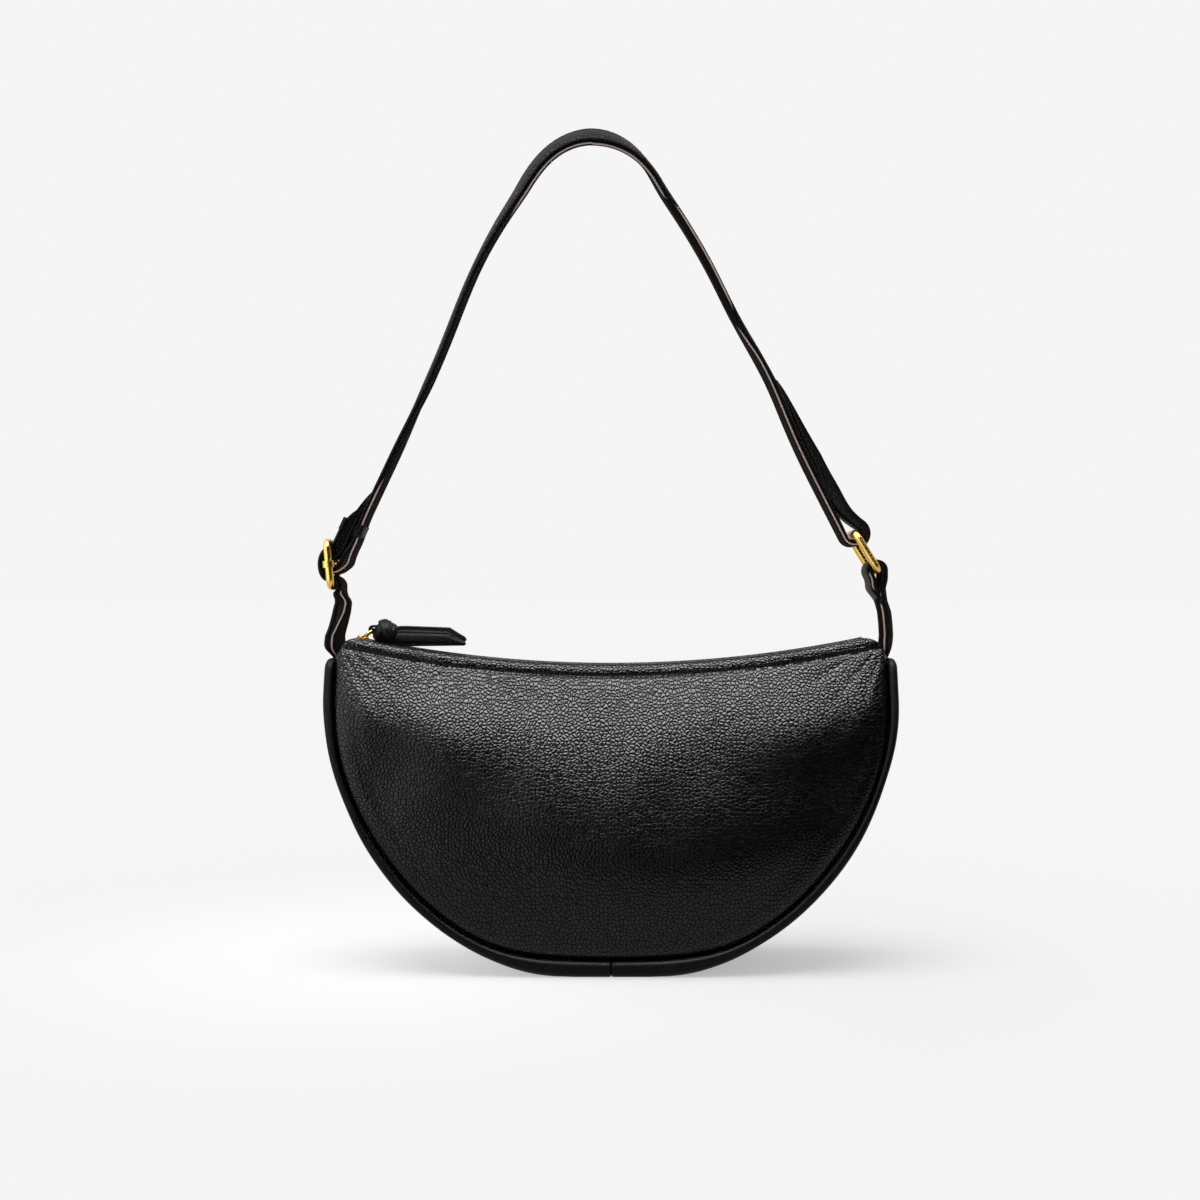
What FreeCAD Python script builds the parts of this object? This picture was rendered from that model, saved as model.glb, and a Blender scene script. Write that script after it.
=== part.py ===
import FreeCAD, Part
import math
import os

# Half moon shoulder bag, in millimetres. The origin is the middle of the flat base.
# +X points to the right seen from the front, +Y to the back and +Z up.

SIZES = {
    # Half moon outline, seen from the front
    "bag_radius": 136.0,
    "base_sag": 4.5,
    "base_trim": 0.8,
    "outline_blend": 80.0,
    "side_rise": 17.5,
    "lip_length": 1.0,
    "seam_lift": 7.3,
    "seam_gap": 0.3,
    "corner_round": 10.0,
    # Depth of the bag, from its middle plane to one side
    "gusset_half_low": 37.0,
    "gusset_half_high": 13.3,
    "gusset_taper_power": 2.2,
    "gusset_edge_round": 4.0,
    "belly_bulge": 8.0,
    "belly_height": 50.0,
    "belly_lean_power": 1.6,
    "belly_width_power": 2.2,
    # Concave mouth with its zip
    "mouth_dip": 2.8,
    "mouth_radius": 610.0,
    "mouth_half_gap": 9.0,
    "zip_drop": 3.2,
    "tape_lap": 1.2,
    "tape_thickness": 0.8,
    "tape_tooth_gap": 0.1,
    "tape_end_gap": 2.0,
    "tooth_pitch": 3.0,
    "tooth_length": 1.7,
    "tooth_thickness": 1.5,
    "tooth_height": 2.2,
    "teeth_gap": 1.0,
    "teeth_end_gap": 2.3,
    "stop_length": 1.8,
    "stop_end_gap": 0.9,
    "stop_gap": 0.3,
    # Sheets
    "leather_thickness": 1.6,
    "lining_thickness": 0.6,
    "lining_gap": 0.3,
    "lining_drop": 6.5,
    "lining_root_gap": 2.6,
    # Zip slider
    "slider_length": 8.0,
    "slider_width": 8.4,
    "slider_plate": 0.9,
    "slider_play": 0.25,
    "slider_post": 0.8,
    "post_length": 1.2,
    "bail_width": 2.2,
    "bail_wire": 1.0,
    "bail_opening_length": 4.4,
    "bail_opening_height": 2.2,
    # Leather pull on its ring
    "pull_ring_radius": 3.3,
    "pull_ring_wire": 1.4,
    "pull_ring_tilt": 40.0,
    "pull_loop_width": 3.0,
    "pull_loop_thickness": 1.2,
    "pull_loop_play": 0.5,
    "pull_loop_length": 2.4,
    "knot_length": 10.0,
    "knot_full_length": 12.4,
    "knot_height": 11.4,
    "knot_depth": 10.4,
    "knot_drop": 0.8,
    "tail_length": 33.0,
    "tail_width": 8.4,
    "tail_slant": 8.5,
    "tail_tip": 4.0,
    "tail_thickness": 1.7,
    "tail_gap": 0.5,
    # Leather of the straps: cover, pale core and lining on the inner side
    "strap_width": 18.0,
    "strap_cover": 1.9,
    "strap_core": 0.8,
    "strap_lining": 0.5,
    "ply_gap": 0.2,
    "strap_fit": 0.15,
    # Shoulder curve of the main strap
    "shoulder_radius": 38.0,
    "shoulder_offset": -9.0,
    "strap_lean": 25.2,
    # Corner roots of the strap
    "root_rise": 7.0,
    "root_fit": 0.3,
    # Adjuster on the left
    "adjuster_out": 3.9,
    "adjuster_rise": 38.5,
    "adjuster_lean": 5.0,
    "weave_room": 0.35,
    "adjuster_wire": 3.7,
    "adjuster_bar": 3.0,
    "collar_wall": 0.9,
    "collar_length": 3.2,
    "collar_fit": 0.05,
    "collar_side_gap": 0.15,
    "buckle_corner": 3.4,
    "fold_length_left": 32.0,
    "tail_run": 20.0,
    # Keeper over the strap and its tail
    "keeper_length": 6.4,
    "keeper_thickness": 0.8,
    "keeper_play": 0.25,
    "keeper_run": 11.5,
    # Ring and tab on the right
    "ring_in": 3.3,
    "ring_rise": 35.5,
    "ring_lean": 31.5,
    "ring_length": 21.0,
    "ring_wire": 3.6,
    "tab_loop_play": 0.3,
    "strap_loop_play": 1.2,
    "fold_bend_radius": 40.0,
    "fold_bend_run": 22.0,
    "fold_length_right": 84.0,
    "tab_bend_radius": 14.0,
    "tab_bend_run": 12.0,
    "tab_fold_length": 17.0,
}

document = FreeCAD.newDocument("half_moon_bag")
sheet = document.addObject("Spreadsheet::Sheet", "sizes")
for row, (alias, number) in enumerate(SIZES.items(), start=1):
    sheet.set(f"A{row}", alias)
    sheet.set(f"B{row}", str(number))
    sheet.setAlias(f"B{row}", alias)
document.recompute()

sub_parts = []


def size(alias):
    """Driving dimension, read from the spreadsheet."""
    return float(sheet.get(alias))


def point(x, z, y=0.0):
    return FreeCAD.Vector(x, y, z)


def add(first, second, factor=1.0):
    """Sum of two (x, z) pairs, the second one scaled."""
    return (first[0] + factor * second[0], first[1] + factor * second[1])


def finish(item, label):
    """Give a finished sub-part its name and keep it for export."""
    item.Label = label
    sub_parts.append(item)
    return item


def bind(item, **expressions):
    """Bind properties of an object to spreadsheet cells."""
    for name, expression in expressions.items():
        item.setExpression(name, expression)
    return item


# Sketch helpers

def new_body(name):
    return document.addObject("PartDesign::Body", name)


def add_sketch(body, role, geometry):
    """Sketch on one of the body's own origin planes."""
    sketch = body.newObject("Sketcher::SketchObject", body.Name + "_sketch")
    plane = next(item for item in body.Origin.OriginFeatures if item.Role == role)
    sketch.AttachmentSupport = [(plane, "")]
    sketch.MapMode = "FlatFace"
    for element in geometry:
        sketch.addGeometry(element, False)
    return sketch


def add_pad(body, role, geometry, length, side="Symmetric"):
    pad = body.newObject("PartDesign::Pad", body.Name + "_pad")
    pad.Profile = add_sketch(body, role, geometry)
    pad.SideType = side
    bind(pad, Length=length)
    return pad


def flat(pair):
    """Sketch point of an (x, y) pair."""
    return FreeCAD.Vector(pair[0], pair[1], 0.0)


def polygon(corners):
    """Closed run of straight sketch lines."""
    following = corners[1:] + corners[:1]
    return [Part.LineSegment(flat(start), flat(end)) for start, end in zip(corners, following)]


def rectangle(low_x, low_y, high_x, high_y):
    return polygon([(low_x, low_y), (high_x, low_y), (high_x, high_y), (low_x, high_y)])


def corner_arc(centre, radius, first_angle, last_angle):
    circle = Part.Circle(flat(centre), FreeCAD.Vector(0, 0, 1), radius)
    return Part.ArcOfCircle(circle, first_angle, last_angle)


# Strap routes: straight runs between turns, like a belt over pulleys.
# A stop is (x, z, radius): a positive radius turns left, a negative one right, and zero is an end.

def run_heading(start, end):
    """Heading of the straight run that touches both stops."""
    apart_x = end[0] - start[0]
    apart_z = end[1] - start[1]
    distance = math.hypot(apart_x, apart_z)
    return math.atan2(apart_z, apart_x) - math.asin((end[2] - start[2]) / distance)


def along(heading):
    return (math.cos(heading), math.sin(heading))


def left_of(heading):
    return (-math.sin(heading), math.cos(heading))


def on_stop(stop, heading, offset=0.0):
    """Point where a run of this heading touches the stop, moved to the left by the offset."""
    return add(stop[:2], left_of(heading), offset - stop[2])


def route_curves(stops, offset):
    """Lines and arcs that follow the route at an offset to its left."""
    headings = [run_heading(start, end) for start, end in zip(stops, stops[1:])]
    curves = []
    for index, heading in enumerate(headings):
        start, end = stops[index], stops[index + 1]
        run = [flat(on_stop(stop, heading, offset)) for stop in (start, end)]
        curves.append(Part.LineSegment(*run))
        if index + 1 < len(headings):
            turn = (headings[index + 1] - heading) % math.tau
            if end[2] < 0.0:
                turn -= math.tau
            through = [on_stop(end, heading + share * turn, offset) for share in (0.0, 0.5, 1.0)]
            curves.append(Part.Arc(*[flat(pair) for pair in through]))
    return curves


def route_band(stops, low, high):
    """Closed outline between two offsets from the route."""
    first = run_heading(stops[0], stops[1])
    last = run_heading(stops[-2], stops[-1])
    caps = [Part.LineSegment(flat(on_stop(stop, heading, low)), flat(on_stop(stop, heading, high)))
            for stop, heading in ((stops[0], first), (stops[-1], last))]
    return route_curves(stops, low) + route_curves(stops, high) + caps


def fold_back(stop, heading, spacing, bend_run, bend_radius, length):
    """Stops of a strap end that has turned round a bar and lies along its own strap again."""
    side = left_of(heading)
    start = add(on_stop(stop, heading), side, spacing)
    bend = add(add(start, along(heading), -bend_run), side, bend_radius)
    tip = add(start, along(heading), -length)
    return [(*bend, -bend_radius), (*tip, 0.0)]


# Outline of the bag
centre_height = size("bag_radius") - size("base_sag")
side_top = centre_height + size("side_rise")
seam_radius = size("bag_radius") - size("gusset_edge_round") - size("lip_length")
belly_most = size("gusset_half_low") + size("belly_bulge")
mouth_height = side_top - size("mouth_dip")
mouth_centre = mouth_height + size("mouth_radius")
leather = size("leather_thickness")
root_height = side_top + size("root_rise")
root_low = root_height - size("strap_width") / 2.0


def mouth_rise(x):
    """Height of the mouth's edge above its middle."""
    return size("mouth_radius") - math.sqrt(size("mouth_radius") ** 2 - x ** 2)


def gusset_half(z):
    """Half depth of the gusset: wide at the base and narrow at the top."""
    share = max(z, 0.0) / side_top
    spread = size("gusset_half_low") - size("gusset_half_high")
    return size("gusset_half_low") - spread * share ** size("gusset_taper_power")


def belly_half(z):
    """Half depth of the bag on its middle line."""
    if z < size("belly_height"):
        share = (size("belly_height") - z) / (size("belly_height") - size("seam_lift"))
        return belly_most - (belly_most - size("gusset_half_low")) * share ** 2
    share = (z - size("belly_height")) / (mouth_height - size("belly_height"))
    spread = belly_most - size("mouth_half_gap")
    return belly_most - spread * share ** size("belly_lean_power")


def outline_least(side, base, lean):
    """Distance of the outline from the bag's centre: round at the sides, flat at the base, blended."""
    power = size("outline_blend")
    floor = base / max(math.cos(lean), 1e-6)
    return side * (1.0 + (side / floor) ** power) ** (-1.0 / power)


def seam_distance(lean):
    """Distance of the seam from the bag's centre at an angle from straight down."""
    return outline_least(seam_radius, centre_height - size("seam_lift"), lean)


corner_top = mouth_height + mouth_rise(seam_radius - size("corner_round"))
corner_start = corner_top - size("corner_round")


SEAM_HALVINGS = 40
PANEL_START = math.radians(14.0)


def seam_height(lean):
    """Height of a panel's edge at an angle from straight down."""
    return centre_height - (seam_distance(lean) - size("seam_gap")) * math.cos(lean)


def panel_half_width(z):
    """Half width of a panel, out to its seam, with rounded top corners."""
    edge = seam_radius - size("seam_gap")
    if z < centre_height:
        low, high = 0.0, math.pi / 2.0
        for _ in range(SEAM_HALVINGS):
            lean = (low + high) / 2.0
            if seam_height(lean) < z:
                low = lean
            else:
                high = lean
        return (seam_distance(lean) - size("seam_gap")) * math.sin(lean)
    if z < corner_start:
        return edge
    return edge - size("corner_round") + math.sqrt(size("corner_round") ** 2 - (z - corner_start) ** 2)


def panel_depth(x, z):
    """Half depth of the outer leather at a place on the panel."""
    share = min(abs(x) / panel_half_width(z), 1.0)
    level = z - mouth_rise(x) * max(z, 0.0) / mouth_height
    edge = gusset_half(z)
    return edge + (belly_half(level) - edge) * (1.0 - share ** size("belly_width_power"))


PANEL_COLUMNS = 12
PANEL_LEVELS = (0.0, 0.03, 0.08, 0.16, 0.27, 0.4, 0.54, 0.68, 0.8, 0.9, 1.0)
CORNER_LEVELS = (0.3, 0.6, 0.82, 0.95)


def panel_slice(z, inset, thickness, side):
    """Thin level slice of a panel: outer and inner curve joined at both ends."""
    half_width = panel_half_width(z)
    shares = [2.0 * column / PANEL_COLUMNS - 1.0 for column in range(PANEL_COLUMNS + 1)]
    curves = []
    for depth in (inset, inset + thickness):
        curve = Part.BSplineCurve()
        curve.interpolate([point(share * half_width, z, side * (panel_depth(share * half_width, z) - depth))
                           for share in shares])
        curves.append(curve)
    outer, inner = curves
    right_end = Part.LineSegment(outer.EndPoint, inner.EndPoint)
    left_end = Part.LineSegment(inner.StartPoint, outer.StartPoint)
    return Part.Wire([edge.toShape() for edge in (outer, right_end, inner, left_end)])


def panel_shape(inset, thickness, side):
    """Bulging panel, before its concave top is cut."""
    low = seam_height(PANEL_START)
    heights = [low + share * (corner_start - low) for share in PANEL_LEVELS]
    heights += [corner_start + share * size("corner_round") for share in CORNER_LEVELS]
    return Part.makeLoft([panel_slice(z, inset, thickness, side) for z in heights], True, False)


def mouth_cutter(name, drop):
    """Cylinder that cuts the concave mouth, lowered by a drop."""
    cutter = document.addObject("Part::Cylinder", name)
    bind(cutter, Radius=f"sizes.mouth_radius + {drop}",
         Height="4 * (sizes.gusset_half_low + sizes.belly_bulge)")
    reach = 2.0 * belly_most
    cutter.Placement = FreeCAD.Placement(point(0.0, mouth_centre, reach),
                                         FreeCAD.Rotation(FreeCAD.Vector(1, 0, 0), 90))
    return cutter


def make_panel(label, inset, thickness, side, drop):
    """One panel of leather or lining, with its concave top."""
    blank = document.addObject("Part::Feature", label + "_blank")
    blank.Shape = panel_shape(inset, thickness, side)
    cut = document.addObject("Part::Cut", label)
    cut.Base = blank
    cut.Tool = mouth_cutter(label + "_mouth", drop)
    return finish(cut, label)


# Gusset: a channel of leather round the outline, with its lips turned in to the seams
STATION_ANGLES = (90.0, 79.0, 66.0, 52.0, 38.0, 28.0, 22.0, 18.0, 14.0, 10.0, 5.0, 0.0)


def gusset_section(angle, origin_z, inset, thickness, side):
    """Closed channel section at an angle from straight down, about a point on the bag's middle line."""
    lean = math.radians(angle)
    outer = outline_least(size("bag_radius"), centre_height + size("base_trim"), lean) - inset
    lip = seam_distance(lean)
    half = gusset_half(origin_z - lip * math.cos(lean)) - inset
    bend = size("gusset_edge_round") - inset
    diagonal = math.sqrt(0.5)

    def place(radius, y):
        return point(side * radius * math.sin(lean), origin_z - radius * math.cos(lean), y)

    def curve(depth, direction):
        """Lip, bend, floor, bend and lip at a depth below the outer face."""
        reach = bend - depth
        knee = outer - bend
        fold = half - bend
        ends = [place(lip, -half + depth), place(knee, -half + depth), place(outer - depth, -fold),
                place(outer - depth, fold), place(knee, half - depth), place(lip, half - depth)]
        middles = [place(knee + reach * diagonal, sign * (fold + reach * diagonal)) for sign in (-1.0, 1.0)]
        edges = [Part.LineSegment(ends[0], ends[1]), Part.Arc(ends[1], middles[0], ends[2]),
                 Part.LineSegment(ends[2], ends[3]), Part.Arc(ends[3], middles[1], ends[4]),
                 Part.LineSegment(ends[4], ends[5])]
        return edges[::direction], ends

    outside, outside_ends = curve(0.0, 1)
    inside, inside_ends = curve(thickness, -1)
    last_cap = Part.LineSegment(outside_ends[-1], inside_ends[-1])
    first_cap = Part.LineSegment(inside_ends[0], outside_ends[0])
    edges = outside + [last_cap] + inside + [first_cap]
    return Part.Wire([edge.toShape() for edge in edges])


def gusset_shape(top, inset, thickness, side):
    """Half of the gusset, from its top end down to the middle of the base."""
    stations = [(STATION_ANGLES[0], top)] + [(angle, centre_height) for angle in STATION_ANGLES]
    sections = [gusset_section(angle, origin_z, inset, thickness, side) for angle, origin_z in stations]
    return Part.makeLoft(sections, True, False)


def make_gusset(label, side):
    """One half of the gusset, cut flat where the bag stands."""
    blank = document.addObject("Part::Feature", label + "_blank")
    blank.Shape = gusset_shape(side_top, 0.0, leather, side)
    floor = document.addObject("Part::Box", label + "_floor")
    bind(floor, Length="2 * sizes.bag_radius", Width="4 * sizes.gusset_half_low", Height="sizes.bag_radius")
    floor.Placement.Base = point(-size("bag_radius"), -size("bag_radius"), -2.0 * size("gusset_half_low"))
    cut = document.addObject("Part::Cut", label)
    cut.Base = blank
    cut.Tool = floor
    return finish(cut, label)


def make_gusset_lining(label):
    """Lining of the gusset, one strip that ends below the strap's roots."""
    inset = leather + size("lining_gap")
    halves = []
    for side, name in ((-1.0, "left"), (1.0, "right")):
        half = document.addObject("Part::Feature", f"{label}_{name}")
        half.Shape = gusset_shape(root_low - size("lining_root_gap"), inset, size("lining_thickness"), side)
        halves.append(half)
    strip = document.addObject("Part::Fuse", label)
    strip.Base, strip.Tool = halves
    return finish(strip, label)


def make_shell():
    """Panels, gusset and lining."""
    lining_inset = leather + size("lining_gap")
    for side, name in ((-1.0, "front"), (1.0, "back")):
        make_panel(name + "_panel", 0.0, leather, side, "0")
        make_panel("lining_" + name, lining_inset, size("lining_thickness"), side, "sizes.lining_drop")
    make_gusset("gusset_left", -1.0)
    make_gusset("gusset_right", 1.0)
    make_gusset_lining("lining_gusset")


# Zip: everything on it lies on a circle round the mouth's centre
zip_radius = size("mouth_radius") + size("zip_drop")
tape_inner = size("teeth_gap") / 2.0 + size("tooth_length")
tape_half_length = seam_radius - size("tape_end_gap")
tape_half_width = size("mouth_half_gap") - leather + size("tape_lap")
stop_end = tape_half_length - size("stop_end_gap")
stop_start = stop_end - size("stop_length")
teeth_half_length = stop_start - size("teeth_end_gap")
slider_rest = stop_start - size("stop_gap") - size("slider_length") / 2.0


def on_zip(x, run, height):
    """Point above the zip line near x: run goes to the right along the zip, height goes up."""
    angle = math.asin(x / zip_radius)
    down = (math.sin(angle), -math.cos(angle))
    right = (math.cos(angle), math.sin(angle))
    return add(add((0.0, mouth_centre), down, zip_radius - height), right, run)


def zip_placement(x, y=0.0):
    """Placement that carries a piece from the middle of the zip to the zip at x."""
    base = on_zip(x, 0.0, 0.0)
    turn = math.degrees(math.asin(x / zip_radius))
    return FreeCAD.Placement(point(base[0], base[1], y), FreeCAD.Rotation(FreeCAD.Vector(0, 1, 0), -turn))


def make_tape(label, side):
    """Cloth tape of one side, curved with the mouth."""
    spread = math.asin(tape_half_length / zip_radius)
    half = size("tape_thickness") / 2.0
    angles = (-math.pi / 2.0 - spread, -math.pi / 2.0 + spread)
    rims = [zip_radius - half, zip_radius + half]
    outline = [corner_arc((0.0, mouth_centre), rim, *angles) for rim in rims]
    outline += [Part.LineSegment(flat((rims[0] * math.cos(angle), mouth_centre + rims[0] * math.sin(angle))),
                                 flat((rims[1] * math.cos(angle), mouth_centre + rims[1] * math.sin(angle))))
                for angle in angles]
    body = new_body(label)
    outer = "sizes.mouth_half_gap - sizes.leather_thickness + sizes.tape_lap"
    inner = "sizes.teeth_gap / 2 + sizes.tooth_length + sizes.tape_tooth_gap"
    add_pad(body, "XZ_Plane", outline, f"{outer} - ({inner})")
    middle = (tape_inner + size("tape_tooth_gap") + tape_half_width) / 2.0
    body.Placement.Base = point(0.0, 0.0, side * middle)
    return finish(body, label)


def make_teeth(label, side):
    """Row of separate teeth along the inner edge of one tape."""
    count = int(2.0 * teeth_half_length / size("tooth_pitch"))
    step = size("tooth_pitch")
    start = -step * (count - 1) / 2.0
    thickness, length, height = size("tooth_thickness"), size("tooth_length"), size("tooth_height")
    corner = FreeCAD.Vector(-thickness / 2.0, -length / 2.0, -height / 2.0)
    middle = side * (size("teeth_gap") + length) / 2.0
    teeth = []
    for index in range(count):
        tooth = Part.makeBox(thickness, length, height, corner)
        tooth.Placement = zip_placement(start + step * index, middle)
        teeth.append(tooth)
    row = document.addObject("Part::Feature", label)
    row.Shape = Part.makeCompound(teeth)
    return finish(row, label)


def make_stop(label, side):
    """Metal stop that closes one end of the zip."""
    stop = document.addObject("Part::Box", label)
    bind(stop, Length="sizes.stop_length", Width="2 * sizes.tooth_length + sizes.teeth_gap",
         Height="sizes.tooth_height")
    place = side * (stop_start + stop_end) / 2.0
    corner = FreeCAD.Vector(-size("stop_length") / 2.0, -tape_inner, -size("tooth_height") / 2.0)
    stop.Placement = zip_placement(place).multiply(FreeCAD.Placement(corner, FreeCAD.Rotation()))
    return finish(stop, label)


# Slider heights above the zip line
plate_low = size("tooth_height") / 2.0 + size("slider_play")
plate_high = plate_low + size("slider_plate")
bail_middle = plate_high + size("bail_opening_height") / 2.0


def make_slider(label):
    """Two plates on a post that runs between the rows of teeth, with a bail on top."""
    half = size("slider_length") / 2.0
    body = new_body(label)
    add_pad(body, "XZ_Plane", rectangle(-half, -plate_high, -half + size("post_length"), plate_high),
            "sizes.slider_post")
    for sign in (-1.0, 1.0):
        levels = sorted((sign * plate_low, sign * plate_high))
        add_pad(body, "XZ_Plane", rectangle(-half, levels[0], half, levels[1]), "sizes.slider_width")
    inner = size("bail_opening_length") / 2.0
    outer = inner + size("bail_wire")
    ceiling = plate_high + size("bail_opening_height")
    top = ceiling + size("bail_wire")
    bail = polygon([(-outer, plate_high), (-inner, plate_high), (-inner, ceiling), (inner, ceiling),
                    (inner, plate_high), (outer, plate_high), (outer, top), (-outer, top)])
    add_pad(body, "XZ_Plane", bail, "sizes.bail_width")
    body.Placement = zip_placement(-slider_rest)
    return finish(body, label)


# Pull: ring through the bail, then loop, knot and two tails of leather
ring_tilt = math.radians(size("pull_ring_tilt"))
pull_pivot = on_zip(-slider_rest, 0.0, bail_middle)
pull_hinge = add(pull_pivot, along(ring_tilt), 2.0 * size("pull_ring_radius"))
knot_face = pull_hinge[0] + size("pull_loop_length")
knot_middle = pull_hinge[1] - size("knot_drop")


def make_pull_ring(label):
    ring = document.addObject("Part::Torus", label)
    bind(ring, Radius1="sizes.pull_ring_radius", Radius2="sizes.pull_ring_wire / 2")
    middle = add(pull_pivot, along(ring_tilt), size("pull_ring_radius"))
    ring.Placement = FreeCAD.Placement(point(*middle), FreeCAD.Rotation(FreeCAD.Vector(0, 1, 0),
                                                                        -size("pull_ring_tilt")))
    return finish(ring, label)


def make_pull_loop(label):
    """Leather turned round the ring, with both ends in the knot."""
    reach = size("pull_ring_wire") / 2.0 + size("pull_loop_play") + size("pull_loop_thickness") / 2.0
    half = size("pull_loop_thickness") / 2.0
    stops = [(knot_face, pull_hinge[1] + reach, 0.0), (*pull_hinge, reach),
             (knot_face, pull_hinge[1] - reach, 0.0)]
    body = new_body(label)
    add_pad(body, "XZ_Plane", route_band(stops, -half, half), "sizes.pull_loop_width")
    return finish(body, label)


def make_knot(label):
    """Rounded knot with flat ends where the loop and the tails leave it."""
    knot = document.addObject("Part::Ellipsoid", label + "_form")
    bind(knot, Radius1="sizes.knot_height / 2", Radius2="sizes.knot_full_length / 2",
         Radius3="sizes.knot_depth / 2")
    middle = point(knot_face + size("knot_length") / 2.0, knot_middle)
    knot.Placement = FreeCAD.Placement(middle, FreeCAD.Rotation(FreeCAD.Vector(0, 1, 0), 90))
    block = document.addObject("Part::Box", label + "_block")
    bind(block, Length="sizes.knot_length", Width="2 * sizes.knot_depth", Height="2 * sizes.knot_height")
    block.Placement.Base = point(knot_face, knot_middle - size("knot_height"), -size("knot_depth"))
    common = document.addObject("Part::Common", label)
    common.Base = knot
    common.Tool = block
    return finish(common, label)


def make_tail(label, side):
    """Flat tail with a slanted end."""
    start = knot_face + size("knot_length")
    end = start + size("tail_length")
    top = knot_middle + size("tail_width") / 2.0
    low = knot_middle - size("tail_width") / 2.0
    outline = polygon([(start, low), (end, low), (end, low + size("tail_tip")),
                       (end - size("tail_slant"), top), (start, top)])
    body = new_body(label)
    add_pad(body, "XZ_Plane", outline, "sizes.tail_thickness")
    body.Placement.Base = point(0.0, 0.0, side * (size("tail_gap") + size("tail_thickness")) / 2.0)
    return finish(body, label)


def make_zip():
    for side, name in ((-1.0, "front"), (1.0, "back")):
        make_tape("zip_tape_" + name, side)
        make_teeth("zip_teeth_" + name, side)
    make_stop("zip_stop_left", -1.0)
    make_stop("zip_stop_right", 1.0)
    make_slider("zip_slider")
    make_pull_ring("pull_ring")
    make_pull_loop("pull_loop")
    make_knot("pull_knot")
    make_tail("pull_tail_front", -1.0)
    make_tail("pull_tail_back", 1.0)


# Strap plan
strap_thickness = size("strap_cover") + size("strap_core") + size("strap_lining")
ply_step = strap_thickness + size("ply_gap")
root_offset = size("bag_radius") - leather - size("root_fit") - strap_thickness / 2.0
frame_heading = math.pi / 2.0 + math.radians(size("adjuster_lean"))
bar_place = (-root_offset - size("adjuster_out"), root_height + size("adjuster_rise"))
rail_turn = size("adjuster_wire") / 2.0 + size("strap_fit") + strap_thickness / 2.0
bar_turn = size("adjuster_bar") / 2.0 + size("strap_fit") + strap_thickness / 2.0
adjuster_half_length = rail_turn + bar_turn + ply_step + size("weave_room")
lower_rail = add(bar_place, along(frame_heading), -adjuster_half_length)
upper_rail = add(bar_place, along(frame_heading), adjuster_half_length)
main_at_rail = (*upper_rail, rail_turn + 2.0 * ply_step)
main_heading = math.pi / 2.0 - math.radians(size("strap_lean"))


def shoulder_height():
    """Height at which the shoulder curve ends the left leg's straight run."""
    start = on_stop(main_at_rail, main_heading)
    side = left_of(main_heading)
    inward = (start[0] - size("shoulder_offset")) * side[0] - size("shoulder_radius")
    return start[1] + inward / side[1]


shoulder = (size("shoulder_offset"), shoulder_height(), -size("shoulder_radius"))
ring_heading = math.pi / 2.0 + math.radians(size("ring_lean"))
ring_low = (root_offset - size("ring_in"), root_height + size("ring_rise"))
ring_high = add(ring_low, along(ring_heading), size("ring_length"))
ring_radius = size("ring_wire") / 2.0
buckle_side_gap = size("collar_fit") + size("collar_wall") + size("collar_side_gap")


def beside_rail(ply, run):
    """Place on a ply of the left strap, counted from the tail, at a run above the upper rail."""
    turn = (*upper_rail, rail_turn + ply * ply_step)
    return add(on_stop(turn, main_heading), along(main_heading), run)


def lower_strap_route():
    """Corner root, lower rail, round the bar, upper rail, tail."""
    return [(-root_offset, root_low, 0.0), (*lower_rail, rail_turn), (*bar_place, -bar_turn - ply_step),
            (*upper_rail, rail_turn), (*beside_rail(0, size("tail_run")), 0.0)]


def main_strap_route():
    """Folded end, round the bar, over the shoulder, round the ring, folded end."""
    loop = (*ring_high, ring_radius + size("strap_loop_play") + strap_thickness / 2.0)
    heading = run_heading(shoulder, loop)
    end = fold_back(loop, heading, ply_step, size("fold_bend_run"), size("fold_bend_radius"),
                    size("fold_length_right"))
    return [(*beside_rail(1, size("fold_length_left")), 0.0), (*upper_rail, -rail_turn - ply_step),
            (*bar_place, bar_turn), main_at_rail, shoulder, loop] + end


def ring_tab_route():
    """Corner root, round the ring's lower bar, folded end."""
    root = (root_offset, root_low, 0.0)
    loop = (*ring_low, ring_radius + size("tab_loop_play") + strap_thickness / 2.0)
    end = fold_back(loop, run_heading(root, loop), ply_step, size("tab_bend_run"), size("tab_bend_radius"),
                    size("tab_fold_length"))
    return [root, loop] + end


def round_root(body):
    """Round the root so that it can turn in the corner of the bag."""
    half = size("strap_width") / 2.0
    low = root_low - strap_thickness
    outline = [Part.LineSegment(flat((-half, root_height)), flat((-half, low))),
               Part.LineSegment(flat((-half, low)), flat((half, low))),
               Part.LineSegment(flat((half, low)), flat((half, root_height))),
               corner_arc((0.0, root_height), half, math.pi, math.tau)]
    pocket = body.newObject("PartDesign::Pocket", body.Name + "_round")
    pocket.Profile = add_sketch(body, "YZ_Plane", outline)
    pocket.SideType = "Symmetric"
    pocket.Type = "ThroughAll"


def make_strap(label, stops, rooted, face=1.0):
    """Cover, pale core and lining of one strap, the cover to the left of its route, or to the right at -1."""
    outer = strap_thickness / 2.0
    inner = -strap_thickness / 2.0
    seam = inner + size("strap_lining")
    plies = {"cover": (seam + size("strap_core"), outer), "core": (seam, seam + size("strap_core")),
             "lining": (inner, seam)}
    for name, (low, high) in plies.items():
        body = new_body(f"{label}_{name}")
        add_pad(body, "XZ_Plane", route_band(stops, *sorted((face * low, face * high))), "sizes.strap_width")
        if rooted:
            round_root(body)
        finish(body, f"{label}_{name}")


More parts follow.
